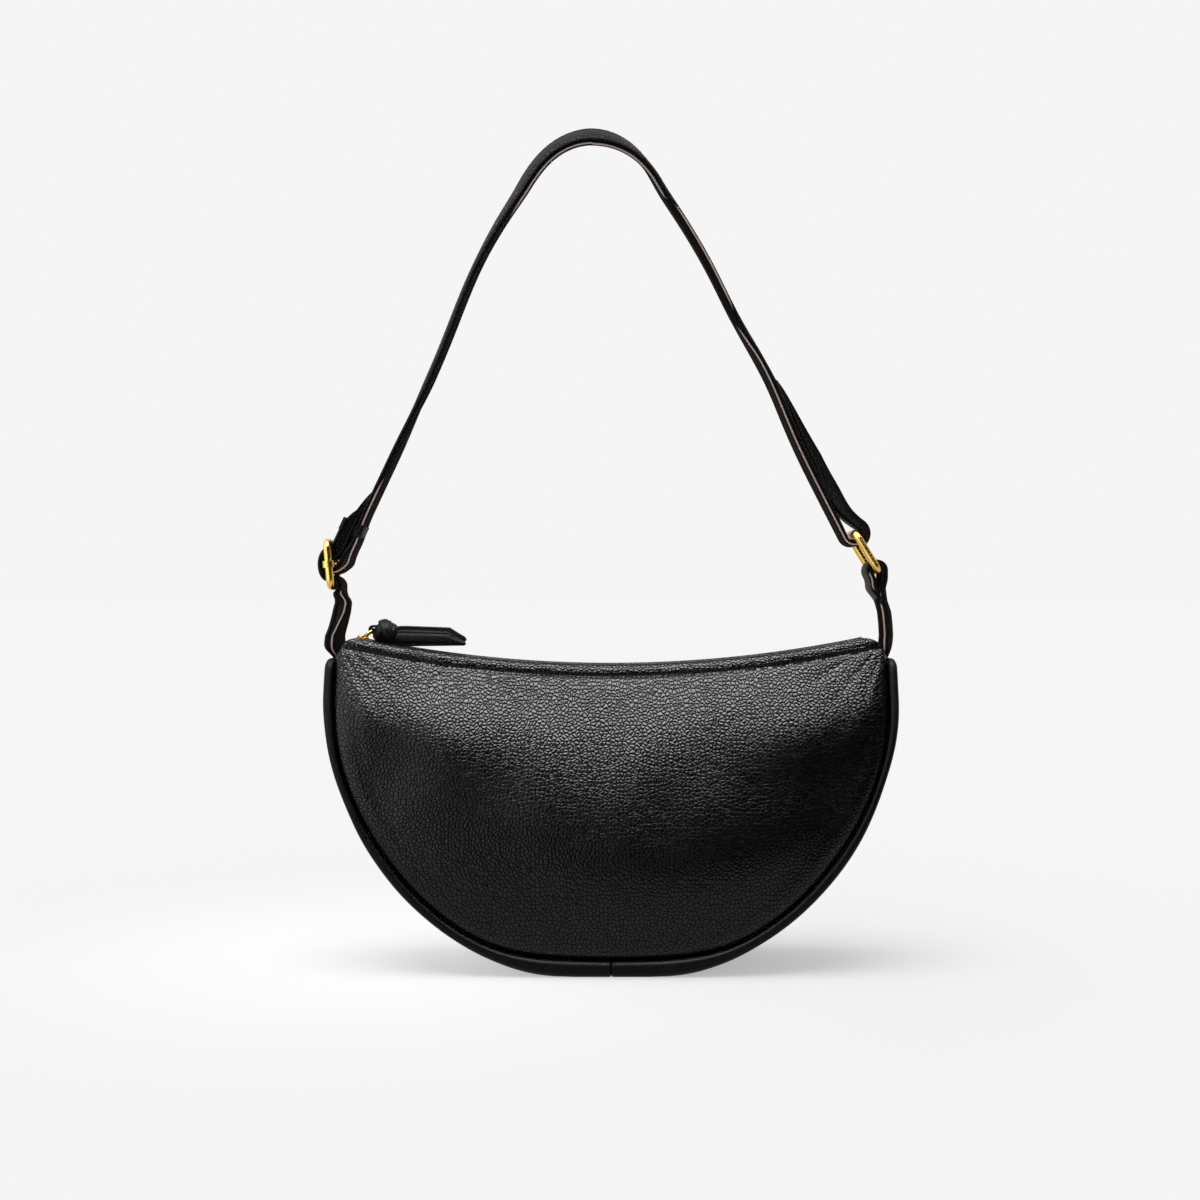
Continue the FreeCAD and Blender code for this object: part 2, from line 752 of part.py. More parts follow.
def loop_path(half_length, half_width, corner):
    """Rounded rectangle, with its length along the sketch's first axis."""
    inner_x = half_length - corner
    inner_y = half_width - corner
    lines = [((-inner_x, half_width), (inner_x, half_width)),
             ((half_length, inner_y), (half_length, -inner_y)),
             ((inner_x, -half_width), (-inner_x, -half_width)),
             ((-half_length, -inner_y), (-half_length, inner_y))]
    path = [Part.LineSegment(flat(start), flat(end)) for start, end in lines]
    quarters = ((1.0, 1.0, 0.0), (-1.0, 1.0, 0.5), (-1.0, -1.0, 1.0), (1.0, -1.0, 1.5))
    path += [corner_arc((sign_x * inner_x, sign_y * inner_y), corner, math.pi * turn, math.pi * (turn + 0.5))
             for sign_x, sign_y, turn in quarters]
    return path


def in_strap_plane(middle, heading):
    """Placement whose first axis follows a heading, with its second axis along +Y."""
    turn = FreeCAD.Rotation(FreeCAD.Vector(0, 1, 0), -math.degrees(heading))
    return FreeCAD.Placement(point(*middle), turn)


def buckle_half_width(wire):
    return size("strap_width") / 2.0 + buckle_side_gap + wire / 2.0


def make_wire_loop(label, middle, heading, half_length, wire):
    """Rectangular loop of round wire."""
    half_width = buckle_half_width(wire)
    body = new_body(label)
    path = add_sketch(body, "XY_Plane", loop_path(half_length, half_width, size("buckle_corner")))
    circle = Part.Circle(flat((half_width, 0.0)), FreeCAD.Vector(0, 0, 1), wire / 2.0)
    pipe = body.newObject("PartDesign::AdditivePipe", label + "_pipe")
    pipe.Profile = add_sketch(body, "YZ_Plane", [circle])
    pipe.Spine = path
    body.Placement = in_strap_plane(middle, heading)
    return finish(body, label)


def make_adjuster_bar(label):
    """Centre bar with a collar on each rail of the frame."""
    half_width = buckle_half_width(size("adjuster_wire"))
    bar = document.addObject("Part::Cylinder", label + "_rod")
    collar_room = "sizes.collar_fit + sizes.collar_wall + sizes.collar_side_gap"
    bind(bar, Radius="sizes.adjuster_bar / 2",
         Height=f"sizes.strap_width + 2 * ({collar_room}) + sizes.adjuster_wire")
    across = FreeCAD.Rotation(FreeCAD.Vector(1, 0, 0), -90)
    bar.Placement = FreeCAD.Placement(FreeCAD.Vector(0, -half_width, 0), across)
    lengthways = FreeCAD.Rotation(FreeCAD.Vector(0, 1, 0), 90)
    solids = [bar]
    holes = []
    for sign, name in ((-1.0, "front"), (1.0, "back")):
        collar = document.addObject("Part::Cylinder", f"{label}_collar_{name}")
        bind(collar, Radius="sizes.adjuster_wire / 2 + sizes.collar_fit + sizes.collar_wall",
             Height="sizes.collar_length")
        corner = FreeCAD.Vector(-size("collar_length") / 2.0, sign * half_width, 0)
        collar.Placement = FreeCAD.Placement(corner, lengthways)
        solids.append(collar)
        hole = document.addObject("Part::Cylinder", f"{label}_hole_{name}")
        bind(hole, Radius="sizes.adjuster_wire / 2 + sizes.collar_fit", Height="2 * sizes.collar_length")
        start = corner - FreeCAD.Vector(size("collar_length") / 2.0, 0, 0)
        hole.Placement = FreeCAD.Placement(start, lengthways)
        holes.append(hole)
    solid = document.addObject("Part::MultiFuse", label + "_solid")
    solid.Shapes = solids
    bores = document.addObject("Part::MultiFuse", label + "_bores")
    bores.Shapes = holes
    cut = document.addObject("Part::Cut", label)
    cut.Base = solid
    cut.Tool = bores
    cut.Placement = in_strap_plane(bar_place, frame_heading)
    return finish(cut, label)


def make_keeper(label):
    """Leather loop over the strap, its folded end and its tail."""
    half_stack = ply_step + strap_thickness / 2.0
    half_width = size("strap_width") / 2.0
    plies = "3 * (sizes.strap_cover + sizes.strap_core + sizes.strap_lining) + 2 * sizes.ply_gap"

    def block(name, length, around):
        """Box round the plies, with a length and a room on every side of them."""
        room = " + ".join("sizes." + alias for alias in around)
        box = document.addObject("Part::Box", f"{label}_{name}")
        bind(box, Length=length, Width=f"sizes.strap_width + 2 * ({room})", Height=f"{plies} + 2 * ({room})")
        reach = sum(size(alias) for alias in around)
        box.Placement.Base = FreeCAD.Vector(0.0, -half_width - reach, -half_stack - reach)
        return box

    cut = document.addObject("Part::Cut", label)
    cut.Base = block("outside", "sizes.keeper_length", ("keeper_play", "keeper_thickness"))
    cut.Tool = block("inside", "sizes.keeper_length", ("keeper_play",))
    start = beside_rail(1, size("keeper_run") - size("keeper_length") / 2.0)
    cut.Placement = in_strap_plane(start, main_heading)
    return finish(cut, label)


def make_straps():
    make_strap("lower_strap", lower_strap_route(), True)
    make_strap("main_strap", main_strap_route(), False)
    make_strap("ring_tab", ring_tab_route(), True, -1.0)
    make_wire_loop("adjuster_frame", bar_place, frame_heading, adjuster_half_length, size("adjuster_wire"))
    make_adjuster_bar("adjuster_bar")
    make_keeper("strap_keeper")
    ring_middle = add(ring_low, along(ring_heading), size("ring_length") / 2.0)
    make_wire_loop("strap_ring", ring_middle, ring_heading, size("ring_length") / 2.0, size("ring_wire"))


def check_document():
    """Stop before anything is written if an object failed or a shape is not sound."""
    for item in document.Objects:
        if "Invalid" in item.State or "Error" in item.State:
            raise RuntimeError(f"{item.Label} failed: {item.State}")
    for item in sub_parts:
        if item.Shape.isNull() or not item.Shape.isValid() or not item.Shape.Solids:
            raise RuntimeError(f"{item.Label} has no sound solid")


def export_parts():
    os.makedirs("parts", exist_ok=True)
    for item in sub_parts:
        item.Shape.exportStep(os.path.join("parts", item.Label + ".step"))


make_shell()
make_zip()
make_straps()
document.recompute()
check_document()
export_parts()
for name, place in (("pull ring pivot", pull_pivot), ("pull hinge", pull_hinge), ("ring hinge", ring_low),
                    ("strap heading", along(main_heading)), ("strap root", (root_offset, root_height)),
                    ("shoulder", shoulder[:2]),
                    ("mouth centre", (0.0, mouth_centre))):
    print(f"{name}: {place[0]:.3f}, {place[1]:.3f}")
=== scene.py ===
import math

import bmesh
import bpy
import numpy as np
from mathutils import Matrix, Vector, noise


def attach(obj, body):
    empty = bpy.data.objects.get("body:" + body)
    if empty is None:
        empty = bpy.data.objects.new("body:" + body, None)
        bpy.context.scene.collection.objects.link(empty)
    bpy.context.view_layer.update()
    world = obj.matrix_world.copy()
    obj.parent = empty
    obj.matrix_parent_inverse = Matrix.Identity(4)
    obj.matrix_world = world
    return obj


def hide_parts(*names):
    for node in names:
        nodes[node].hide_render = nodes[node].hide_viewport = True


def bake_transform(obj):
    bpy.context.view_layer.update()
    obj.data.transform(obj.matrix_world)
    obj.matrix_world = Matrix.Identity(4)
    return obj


# Half moon shoulder bag. Shapes are worked out in millimetres, as in the CAD model, and meshes are in metres.
# +X points to the right seen from the front, +Y to the back and +Z up.
MM = 0.001

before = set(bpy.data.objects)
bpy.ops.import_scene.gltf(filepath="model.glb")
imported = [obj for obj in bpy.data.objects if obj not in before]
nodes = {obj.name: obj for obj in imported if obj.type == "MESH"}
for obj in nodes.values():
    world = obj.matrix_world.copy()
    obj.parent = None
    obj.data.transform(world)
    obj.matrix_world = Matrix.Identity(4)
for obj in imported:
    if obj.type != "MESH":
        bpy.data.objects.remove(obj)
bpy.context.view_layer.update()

# Half moon outline of the bag
BAG_RADIUS = 136.0
CENTRE_HEIGHT = 131.5
SIDE_TOP = 149.0
BASE_TRIM = 0.8
OUTLINE_BLEND = 80.0
SEAM_BLEND = 28.0
SEAM_RADIUS = 133.6
SEAM_LOW_RADIUS = 131.0
SEAM_TURN = (0.85, 1.45)
SEAM_LIFT = 7.3
SEAM_GAP = 0.3
SEAM_POINTS = 400
CORNER_ROUND = 10.0
PANEL_EDGE = SEAM_RADIUS - SEAM_GAP
CORNER_X = PANEL_EDGE - CORNER_ROUND

# Depth of the bag, from its middle plane to one side
GUSSET_LOW = 37.0
GUSSET_HIGH = 13.3
GUSSET_POWER = 2.2
BELLY = 45.0
BELLY_HEIGHT = 50.0
BELLY_LEAN_POWER = 1.6
BELLY_WIDTH_POWER = 2.2

# Concave mouth with its zip
MOUTH_HEIGHT = 146.2
MOUTH_RADIUS = 610.0
MOUTH_CENTRE = MOUTH_HEIGHT + MOUTH_RADIUS
MOUTH_HALF_GAP = 9.0
ZIP_RADIUS = MOUTH_RADIUS + 3.2
CORNER_START = MOUTH_HEIGHT + MOUTH_RADIUS - math.sqrt(MOUTH_RADIUS ** 2 - CORNER_X ** 2) - CORNER_ROUND

LEATHER = 1.6
LINING = 0.6


# Number helpers

def smooth_step(value, low, high):
    share = np.clip((value - low) / (high - low), 0.0, 1.0)
    return share * share * (3.0 - 2.0 * share)


def window(value, rise, fall):
    """1 between a rise and a fall, each given by where it starts and ends, and 0 outside them."""
    return smooth_step(value, *rise) * (1.0 - smooth_step(value, *fall))


def bump(value, middle, width):
    return np.exp(-((value - middle) / width) ** 2)


def peaks(value, *tops):
    """Sum of bumps, each given as (middle, width, height)."""
    return sum(height * bump(value, middle, width) for middle, width, height in tops)


def squarer(value, power):
    """Sine or cosine raised to a power with its sign kept, for rounds that are nearer to a square."""
    return np.copysign(np.abs(value) ** power, value)


def full_turn(count):
    return np.linspace(0.0, math.tau, count, endpoint=False)


def grid_of(x, y, z):
    """Points from coordinates that are spread to one shape."""
    return np.stack(np.broadcast_arrays(x, y, z), axis=-1)


def soft_noise(points, scale, seed):
    """Smooth noise at points in millimetres, about -1 to 1, with features of the scale's size."""
    flat = points.reshape(-1, 3) / scale + seed
    values = [noise.noise(Vector(place)) for place in flat]
    return np.array(values).reshape(points.shape[:-1])


# Mesh helpers

def link(name, mesh, material):
    piece = bpy.data.objects.new(name, mesh)
    bpy.context.scene.collection.objects.link(piece)
    mesh.materials.append(material)
    return piece


def mesh_piece(name, points, faces, material):
    """Smooth shaded mesh from points in millimetres."""
    mesh = bpy.data.meshes.new(name)
    mesh.from_pydata((np.asarray(points, float) * MM).tolist(), [], faces)
    mesh.polygons.foreach_set("use_smooth", [True] * len(mesh.polygons))
    mesh.update()
    return link(name, mesh, material)


def grid_faces(rows, columns, flip=False, ring=False, loop=False):
    """Quads of a grid of points: a ring is closed across its columns, and a loop along its rows."""
    faces = []
    for row in range(rows if loop else rows - 1):
        below = (row + 1) % rows
        for column in range(columns if ring else columns - 1):
            beside = (column + 1) % columns
            quad = (row * columns + column, row * columns + beside,
                    below * columns + beside, below * columns + column)
            faces.append(quad[::-1] if flip else quad)
    return faces


def sheet_piece(name, grid, material, side, thickness, offset=-1.0):
    """Sheet of a thickness from a grid of points, for the bag's front (-1) or back (1)."""
    faces = grid_faces(*grid.shape[:2], flip=side < 0.0)
    piece = mesh_piece(name, grid.reshape(-1, 3), faces, material)
    solidify = piece.modifiers.new("thickness", "SOLIDIFY")
    solidify.thickness = thickness * MM
    solidify.offset = offset
    return piece


def tube_part(grid):
    """Points and faces of a tube of closed sections, with capped ends."""
    rows, columns = grid.shape[:2]
    first = tuple(range(columns))
    last = tuple((rows - 1) * columns + column for column in first)
    return grid, grid_faces(rows, columns, ring=True) + [first[::-1], last]


def ring_part(grid):
    """Points and faces of a tube of closed sections that runs back into itself."""
    return grid, grid_faces(*grid.shape[:2], ring=True, loop=True)


def join_parts(parts):
    """Points and faces of several forms as one."""
    points, faces = [], []
    for part_points, part_faces in parts:
        first = len(points)
        points.extend(part_points.reshape(-1, 3).tolist())
        faces.extend(tuple(first + corner for corner in face) for face in part_faces)
    return points, faces


def closed_piece(name, parts, material):
    """One piece from closed forms, each given as its points and faces, with normals that point out."""
    piece = mesh_piece(name, *join_parts(parts), material)
    shape = bmesh.new()
    shape.from_mesh(piece.data)
    bmesh.ops.recalc_face_normals(shape, faces=shape.faces)
    shape.to_mesh(piece.data)
    shape.free()
    return piece


def finish_piece(piece, slot, *replaced):
    if replaced:
        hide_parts(*replaced)


def ride(piece, body, slot, *replaced):
    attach(piece, body)
    finish_piece(piece, slot, *replaced)


def bend(piece, start, end, slot, *replaced):
    """Leather sewn to the bag, with its place baked into its mesh; the start and end points, in millimetres,
    are not used.
    """
    start, end = (tuple(value * MM for value in point) for point in (start, end))
    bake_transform(piece)
    finish_piece(piece, slot, *replaced)


# Materials

class Nodes:
    """Short way to add and join the nodes of one material or world."""

    # Colour sockets of a Mix node, by number because its socket names repeat
    COLOUR_A = 6
    COLOUR_B = 7
    COLOUR_RESULT = 2

    def __init__(self, owner, shader="Principled BSDF", coordinates="Object"):
        self.tree = owner.node_tree
        self.shader = self.tree.nodes[shader]
        self.place = self.add("ShaderNodeTexCoord", coordinates)

    def feed(self, socket, value):
        """Give an input a plain value or another node's output."""
        if isinstance(value, bpy.types.NodeSocket):
            self.tree.links.new(value, socket)
        else:
            socket.default_value = value

    def give(self, **values):
        """Feed the shader's own inputs."""
        for name, value in values.items():
            self.feed(self.shader.inputs[name.replace("_", " ")], value)

    def add(self, kind, output, inputs=(), **settings):
        """Output of a new node, with its inputs fed by name or number."""
        node = self.tree.nodes.new(kind)
        for name, value in settings.items():
            setattr(node, name, value)
        for socket, value in dict(inputs).items():
            self.feed(node.inputs[socket], value)
        return node.outputs[output]

    def math(self, operation, *values, clamp=False):
        return self.add("ShaderNodeMath", "Value", enumerate(values), operation=operation, use_clamp=clamp)

    def vector(self, operation, inputs):
        return self.add("ShaderNodeVectorMath", "Vector", inputs, operation=operation)

    def sum(self, first, second, factor):
        """First value plus the second times a factor."""
        return self.math("MULTIPLY_ADD", second, factor, first)

    def mix(self, factor, first, second):
        return self.add("ShaderNodeMix", "Result", {"Factor": factor, "A": first, "B": second})

    def remap(self, value, low, high, to_low=0.0, to_high=1.0):
        limits = {"Value": value, "From Min": low, "From Max": high, "To Min": to_low, "To Max": to_high}
        return self.add("ShaderNodeMapRange", "Result", limits, interpolation_type="SMOOTHSTEP")

    def rays(self, *kinds):
        """1 for a ray of one of these kinds, and 0 for others."""
        total, *others = (self.add("ShaderNodeLightPath", f"Is {kind} Ray") for kind in kinds)
        for other in others:
            total = self.math("ADD", total, other, clamp=True)
        return total

    def noise(self, scale, detail=3.0, rough=0.55, place=None, output="Fac"):
        inputs = {"Scale": scale, "Detail": detail, "Roughness": rough, "Vector": place or self.place}
        return self.add("ShaderNodeTexNoise", output, inputs)

    def stretch(self, scale, turn):
        inputs = {"Scale": scale, "Rotation": turn, "Vector": self.place}
        return self.add("ShaderNodeMapping", "Vector", inputs)

    def wander(self, scale, amount):
        """Object place, shifted about by noise."""
        drift = self.noise(scale, 2.0, output="Color")
        centred = self.vector("SUBTRACT", {0: drift, 1: (0.5, 0.5, 0.5)})
        shift = self.vector("SCALE", {0: centred, "Scale": amount})
        return self.vector("ADD", {0: self.place, 1: shift})

    def cell_edges(self, scale, place, flat):
        """Distance from the edges of cells, on a plane or in space."""
        return self.add("ShaderNodeTexVoronoi", "Distance", {"Scale": scale, "Vector": place},
                        feature="DISTANCE_TO_EDGE", voronoi_dimensions="2D" if flat else "3D")

    def colours(self, value, first, second):
        """Base colour that goes from the first to the second with a value from 0 to 1."""
        inputs = {"Factor": value, self.COLOUR_A: (*first, 1.0), self.COLOUR_B: (*second, 1.0)}
        self.give(Base_Color=self.add("ShaderNodeMix", self.COLOUR_RESULT, inputs, data_type="RGBA"))

    def tint(self, value):
        """Grey tint of the gloss, from a value from 0 to 1."""
        grey = {channel: value for channel in ("Red", "Green", "Blue")}
        self.give(Specular_Tint=self.add("ShaderNodeCombineColor", "Color", grey))

    def relief(self, height, strength, depth):
        """Bump from a height, its depth in millimetres."""
        inputs = {"Strength": strength, "Distance": depth * MM, "Height": height}
        self.give(Normal=self.add("ShaderNodeBump", "Normal", inputs))


def new_material(name, **values):
    """Material and its nodes, with plain values set on the shader's own inputs."""
    material = bpy.data.materials.new(name)
    material.use_nodes = True
    tree = Nodes(material)
    tree.give(**values)
    return material, tree


def per_metre(size):
    """Texture scale for features of a size in millimetres."""
    return 1.0 / (size * MM)


# Leather grain: sizes in cells, reaches in shares of a cell and heights in shares of the grain's depth
WANDER_SIZE = 2.6
WANDER_REACH = 0.8
FINE_SIZE = 0.2
FINE_HEIGHT = 0.06
LUMP_SIZE = 2.0
LUMP_HEIGHT = 0.8
BROAD_SIZE = 9.0
BROAD_ROUGH = 0.1
CREASE_REACH = 0.16
CREASE_HEIGHT = 0.55
DOME_REACH = 0.5
# Shares of a cell from the cell edges over which the painted shade in the gloss tint fades out
SHADED_CREASE_REACH = (0.01, 0.2)
PANEL_TURN = math.radians(100.0)


def leather(name, cell, depth, dark, light, smooth, rough, gloss, shaded_crease_gloss=0.6, upright=False):
    """Black leather with a grain of a cell size and a depth in millimetres, duller and rougher in its
    creases, where painted shade darkens the base colour and the gloss tint.

    Grain for an upright panel is laid out flat, across and up.
    """
    material, tree = new_material(name, Specular_IOR_Level=gloss)
    if upright:
        tree.place = tree.stretch((1.0, 1.0, 1.0), (PANEL_TURN, 0.0, 0.0))
    place = tree.wander(per_metre(cell * WANDER_SIZE), cell * WANDER_REACH * MM)
    edges = tree.cell_edges(per_metre(cell), place, upright)
    crease = tree.remap(edges, 0.0, CREASE_REACH)
    fine = tree.noise(per_metre(cell * FINE_SIZE))
    broad = tree.noise(per_metre(cell * BROAD_SIZE), 2.0)
    lumps = tree.noise(per_metre(cell * LUMP_SIZE), 2.0)
    height = tree.sum(tree.remap(edges, 0.0, DOME_REACH), crease, CREASE_HEIGHT)
    height = tree.sum(height, fine, FINE_HEIGHT)
    height = tree.sum(height, lumps, LUMP_HEIGHT)
    tree.relief(height, 1.0, depth)
    # Painted shade: the base colour is darker in the creases.
    tree.colours(tree.remap(crease, 0.0, 1.0), dark, light)
    tree.give(Roughness=tree.sum(tree.remap(crease, 0.0, 1.0, rough, smooth), broad, BROAD_ROUGH))
    # Painted shade: the gloss tint is darker at the cell edges, for the shadow in the creases.
    tree.tint(tree.remap(edges, *SHADED_CREASE_REACH, shaded_crease_gloss))
    return material


def raw_edge(name):
    """Pale raw leather, with fibres."""
    material, tree = new_material(name, Roughness=0.85, Specular_IOR_Level=0.2)
    fibres = tree.noise(per_metre(0.7), 4.0)
    broad = tree.noise(per_metre(9.0), 2.0)
    tree.colours(tree.sum(fibres, broad, 0.4), (0.38, 0.28, 0.23), (0.72, 0.58, 0.52))
    tree.relief(fibres, 0.5, 0.15)
    return material


WEAR = (0.3, 0.7)


def brass(name, shine):
    """Warm brass with faint wear."""
    material, tree = new_material(name, Metallic=1.0)
    wear = tree.noise(per_metre(3.0))
    fine = tree.noise(per_metre(0.35))
    tree.colours(tree.remap(wear, *WEAR), (0.70, 0.44, 0.1), (0.80, 0.53, 0.15))
    tree.give(Roughness=tree.sum(tree.remap(wear, *WEAR, shine, shine + 0.05), fine, 0.04))
    tree.relief(fine, 0.05, 0.02)
    return material


def cloth(name, pitch, dark, light):
    """Plain woven cloth with a thread pitch in millimetres."""
    material, tree = new_material(name, Specular_IOR_Level=0.2, Sheen_Weight=0.25, Sheen_Roughness=0.5)
    inputs = {"Scale": per_metre(pitch) / math.tau, "Distortion": 1.2, "Vector": tree.place}
    warp, weft = (tree.add("ShaderNodeTexWave", "Fac", inputs, bands_direction=way) for way in "XY")
    weave = tree.sum(warp, weft, 1.0)
    fuzz = tree.noise(per_metre(1.2))
    tree.colours(tree.remap(weave, 0.4, 1.6), dark, light)
    tree.give(Roughness=tree.remap(fuzz, 0.2, 0.8, 0.75, 0.95))
    tree.relief(tree.sum(weave, fuzz, 0.3), 0.6, 0.15)
    return material


def thread(name):
    """Black sewing thread with its twist."""
    material, tree = new_material(name, Specular_IOR_Level=0.35, Sheen_Weight=0.3)
    twist = tree.noise(1.0, 2.0, 0.5, tree.stretch((2400.0, 2400.0, 5200.0), (0.6, 0.4, 0.0)))
    tree.colours(twist, (0.006, 0.006, 0.007), (0.03, 0.03, 0.032))
    tree.give(Roughness=tree.remap(twist, 0.3, 0.7, 0.5, 0.7))
    tree.relief(twist, 0.6, 0.12)
    return material


# Painted shade: the pebbled leather's creases keep only 0.08 of their gloss.
PEBBLED = leather("pebbled_leather", cell=1.85, depth=0.08, dark=(0.0007, 0.0007, 0.0008),
                  light=(0.0024, 0.0024, 0.0026), smooth=0.17, rough=0.3, gloss=0.25, shaded_crease_gloss=0.08,
                  upright=True)
SMOOTH = leather("smooth_leather", cell=1.3, depth=0.03, dark=(0.001, 0.001, 0.0011),
                 light=(0.003, 0.003, 0.0032), smooth=0.3, rough=0.4, gloss=0.1)
STRAP = leather("strap_leather", cell=1.1, depth=0.03, dark=(0.003, 0.0029, 0.0028),
                light=(0.006, 0.0058, 0.0056), smooth=0.5, rough=0.62, gloss=0.1)
UNDERSIDE = leather("strap_underside", cell=1.1, depth=0.03, dark=(0.008, 0.007, 0.0062),
                    light=(0.016, 0.0138, 0.012), smooth=0.8, rough=0.88, gloss=0.012)
PULL = leather("pull_leather", cell=1.0, depth=0.05, dark=(0.002, 0.002, 0.0022),
               light=(0.005, 0.005, 0.0053), smooth=0.34, rough=0.46, gloss=0.16)
CORE = raw_edge("pale_core")
BRASS = brass("brass", 0.25)
TEETH = brass("brass_teeth", 0.3)
TAPE = cloth("zip_fabric", 0.55, (0.004, 0.004, 0.0045), (0.018, 0.018, 0.019))
LINING_CLOTH = cloth("lining_fabric", 0.7, (0.02, 0.016, 0.013), (0.07, 0.058, 0.046))
THREAD = thread("thread")


# Outline functions, shared by the panels, the gusset and the lining

def mouth_rise(x):
    return MOUTH_RADIUS - np.sqrt(MOUTH_RADIUS ** 2 - x ** 2)


def gusset_half(z):
    """Half depth of the gusset: wide at the base and narrow at the top."""
    share = np.clip(z, 0.0, None) / SIDE_TOP
    return GUSSET_LOW - (GUSSET_LOW - GUSSET_HIGH) * share ** GUSSET_POWER


def belly_half(z):
    """Half depth of the bag on its middle line."""
    below = np.clip((BELLY_HEIGHT - z) / (BELLY_HEIGHT - SEAM_LIFT), 0.0, None)
    above = np.clip((z - BELLY_HEIGHT) / (MOUTH_HEIGHT - BELLY_HEIGHT), 0.0, None)
    return (BELLY - (BELLY - GUSSET_LOW) * below ** 2
            - (BELLY - MOUTH_HALF_GAP) * above ** BELLY_LEAN_POWER)


def outline_least(side, base, lean, blend=OUTLINE_BLEND):
    """Distance of the outline from the bag's centre: round at the sides, flat at the base, blended."""
    floor = base / np.maximum(np.cos(lean), 1e-6)
    return side * (1.0 + (side / floor) ** blend) ** (-1.0 / blend)


def bag_distance(lean):
    return float(outline_least(BAG_RADIUS, CENTRE_HEIGHT + BASE_TRIM, abs(lean)))


def seam_distance(lean):
    side = SEAM_LOW_RADIUS + (SEAM_RADIUS - SEAM_LOW_RADIUS) * smooth_step(lean, *SEAM_TURN)
    return outline_least(side, CENTRE_HEIGHT - SEAM_LIFT, lean, SEAM_BLEND)


def seam_side():
    """Right half of the panel's seam, from the middle of the base up to the corner."""
    lean = np.linspace(0.0, math.pi / 2.0, SEAM_POINTS)
    reach = seam_distance(lean) - SEAM_GAP
    low = np.stack([reach * np.sin(lean), CENTRE_HEIGHT - reach * np.cos(lean)], axis=1)
    return np.vstack([low, [[PANEL_EDGE, CORNER_START]]])


def line_run(line):
    """Distance along a line of (x, z) points at each of them."""
    return np.concatenate([[0.0], np.cumsum(np.hypot(*np.diff(line, axis=0).T))])


def resample(line, count):
    """Evenly spaced points along a line of (x, z) points."""
    run = line_run(line)
    places = np.linspace(0.0, run[-1], count)
    return np.stack([np.interp(places, run, line[:, 0]), np.interp(places, run, line[:, 1])], axis=1)


SEAM_HALF = seam_side()


def panel_half_width(z):
    """Half width of a panel, out to its seam, with rounded top corners."""
    below = np.interp(z, SEAM_HALF[:, 1], SEAM_HALF[:, 0])
    up = np.clip(z - CORNER_START, 0.0, CORNER_ROUND * 0.999)
    return np.where(z < CORNER_START, below, CORNER_X + np.sqrt(CORNER_ROUND ** 2 - up ** 2))


def panel_depth(x, z):
    """Half depth of the outer leather at a place on the panel."""
    share = np.clip(np.abs(x) / np.maximum(panel_half_width(z), 1e-3), 0.0, 1.0)
    level = z - mouth_rise(x) * np.clip(z, 0.0, None) / MOUTH_HEIGHT
    edge = gusset_half(z)
    return edge + (belly_half(level) - edge) * (1.0 - share ** BELLY_WIDTH_POWER)


def mouth_distance(x, z):
    """Distance below the mouth's edge."""
    return np.hypot(x, z - MOUTH_CENTRE) - MOUTH_RADIUS


def edge_distance(x, z):
    """Distance inside the panel's seam and its rounded corners."""
    wide = np.abs(x)
    up = np.minimum(z - CENTRE_HEIGHT, 0.0)
    round_side = seam_distance(np.arctan2(wide, np.maximum(-up, 1e-6))) - SEAM_GAP - np.hypot(wide, up)
    corner = CORNER_ROUND - np.hypot(np.maximum(wide - CORNER_X, 0.0), np.maximum(z - CORNER_START, 0.0))
    inside = np.where((wide > CORNER_X) & (z > CORNER_START), corner, round_side)
    return np.clip(inside, 0.0, None)


PANEL_COLUMNS = 301
CORNER_BULGE = CORNER_ROUND * (1.0 - math.sqrt(0.5))
CORNER_REACH = 0.025


def panel_places(shares):
    """x and z of a panel's places: columns run from the mouth to the seam, rows lie at shares of the way."""
    mouth_x = np.linspace(-CORNER_X, CORNER_X, 2 * PANEL_COLUMNS)
    mouth = resample(np.stack([mouth_x, MOUTH_HEIGHT + mouth_rise(mouth_x)], axis=1), PANEL_COLUMNS)
    left = SEAM_HALF[::-1] * np.array([-1.0, 1.0])
    seam = resample(np.vstack([left, SEAM_HALF[1:]]), PANEL_COLUMNS)
    share = np.asarray(shares)[:, None, None]
    places = mouth[None] + (seam - mouth)[None] * share
    run = np.linspace(0.0, 1.0, PANEL_COLUMNS)
    for start, sign in ((0.0, -1.0), (1.0, 1.0)):
        amount = CORNER_BULGE * bump(run, start, CORNER_REACH)
        outward = np.array([sign, 1.0]) * math.sqrt(0.5)
        places = places + (4.0 * share * (1.0 - share)) * amount[None, :, None] * outward
    return places[..., 0], places[..., 1]


# Panels: rows are distances from the mouth and from the seam
PANEL_HEIGHT = 139.0
MOUTH_ROWS = (0.0, 0.12, 0.35, 0.7, 1.1, 1.6, 2.3, 3.1, 3.9, 4.6, 5.1, 5.5, 5.8, 6.1, 6.4, 6.8, 7.4, 8.2,
              9.2, 10.4)
MIDDLE_ROWS = 96
MIDDLE_END = 7.0
SEAM_ROWS = (6.0, 5.0, 4.2, 3.5, 2.8, 2.2, 1.6, 1.1, 0.7, 0.4, 0.15, 0.0)
PANEL_WALL = 1.0
STITCH_DROP = 6.0
STITCH_PITCH = 2.4
FOLD_THICKNESS = 3.0
FOLD_ROUND = FOLD_THICKNESS / 2.0
FOLD_REACH = 0.06
SEAM_ROLL = 4.5
SEAM_SINK = 3.0
SEAM_SINK_START = (0.0, 9.0)
RIM_SINK = 4.0

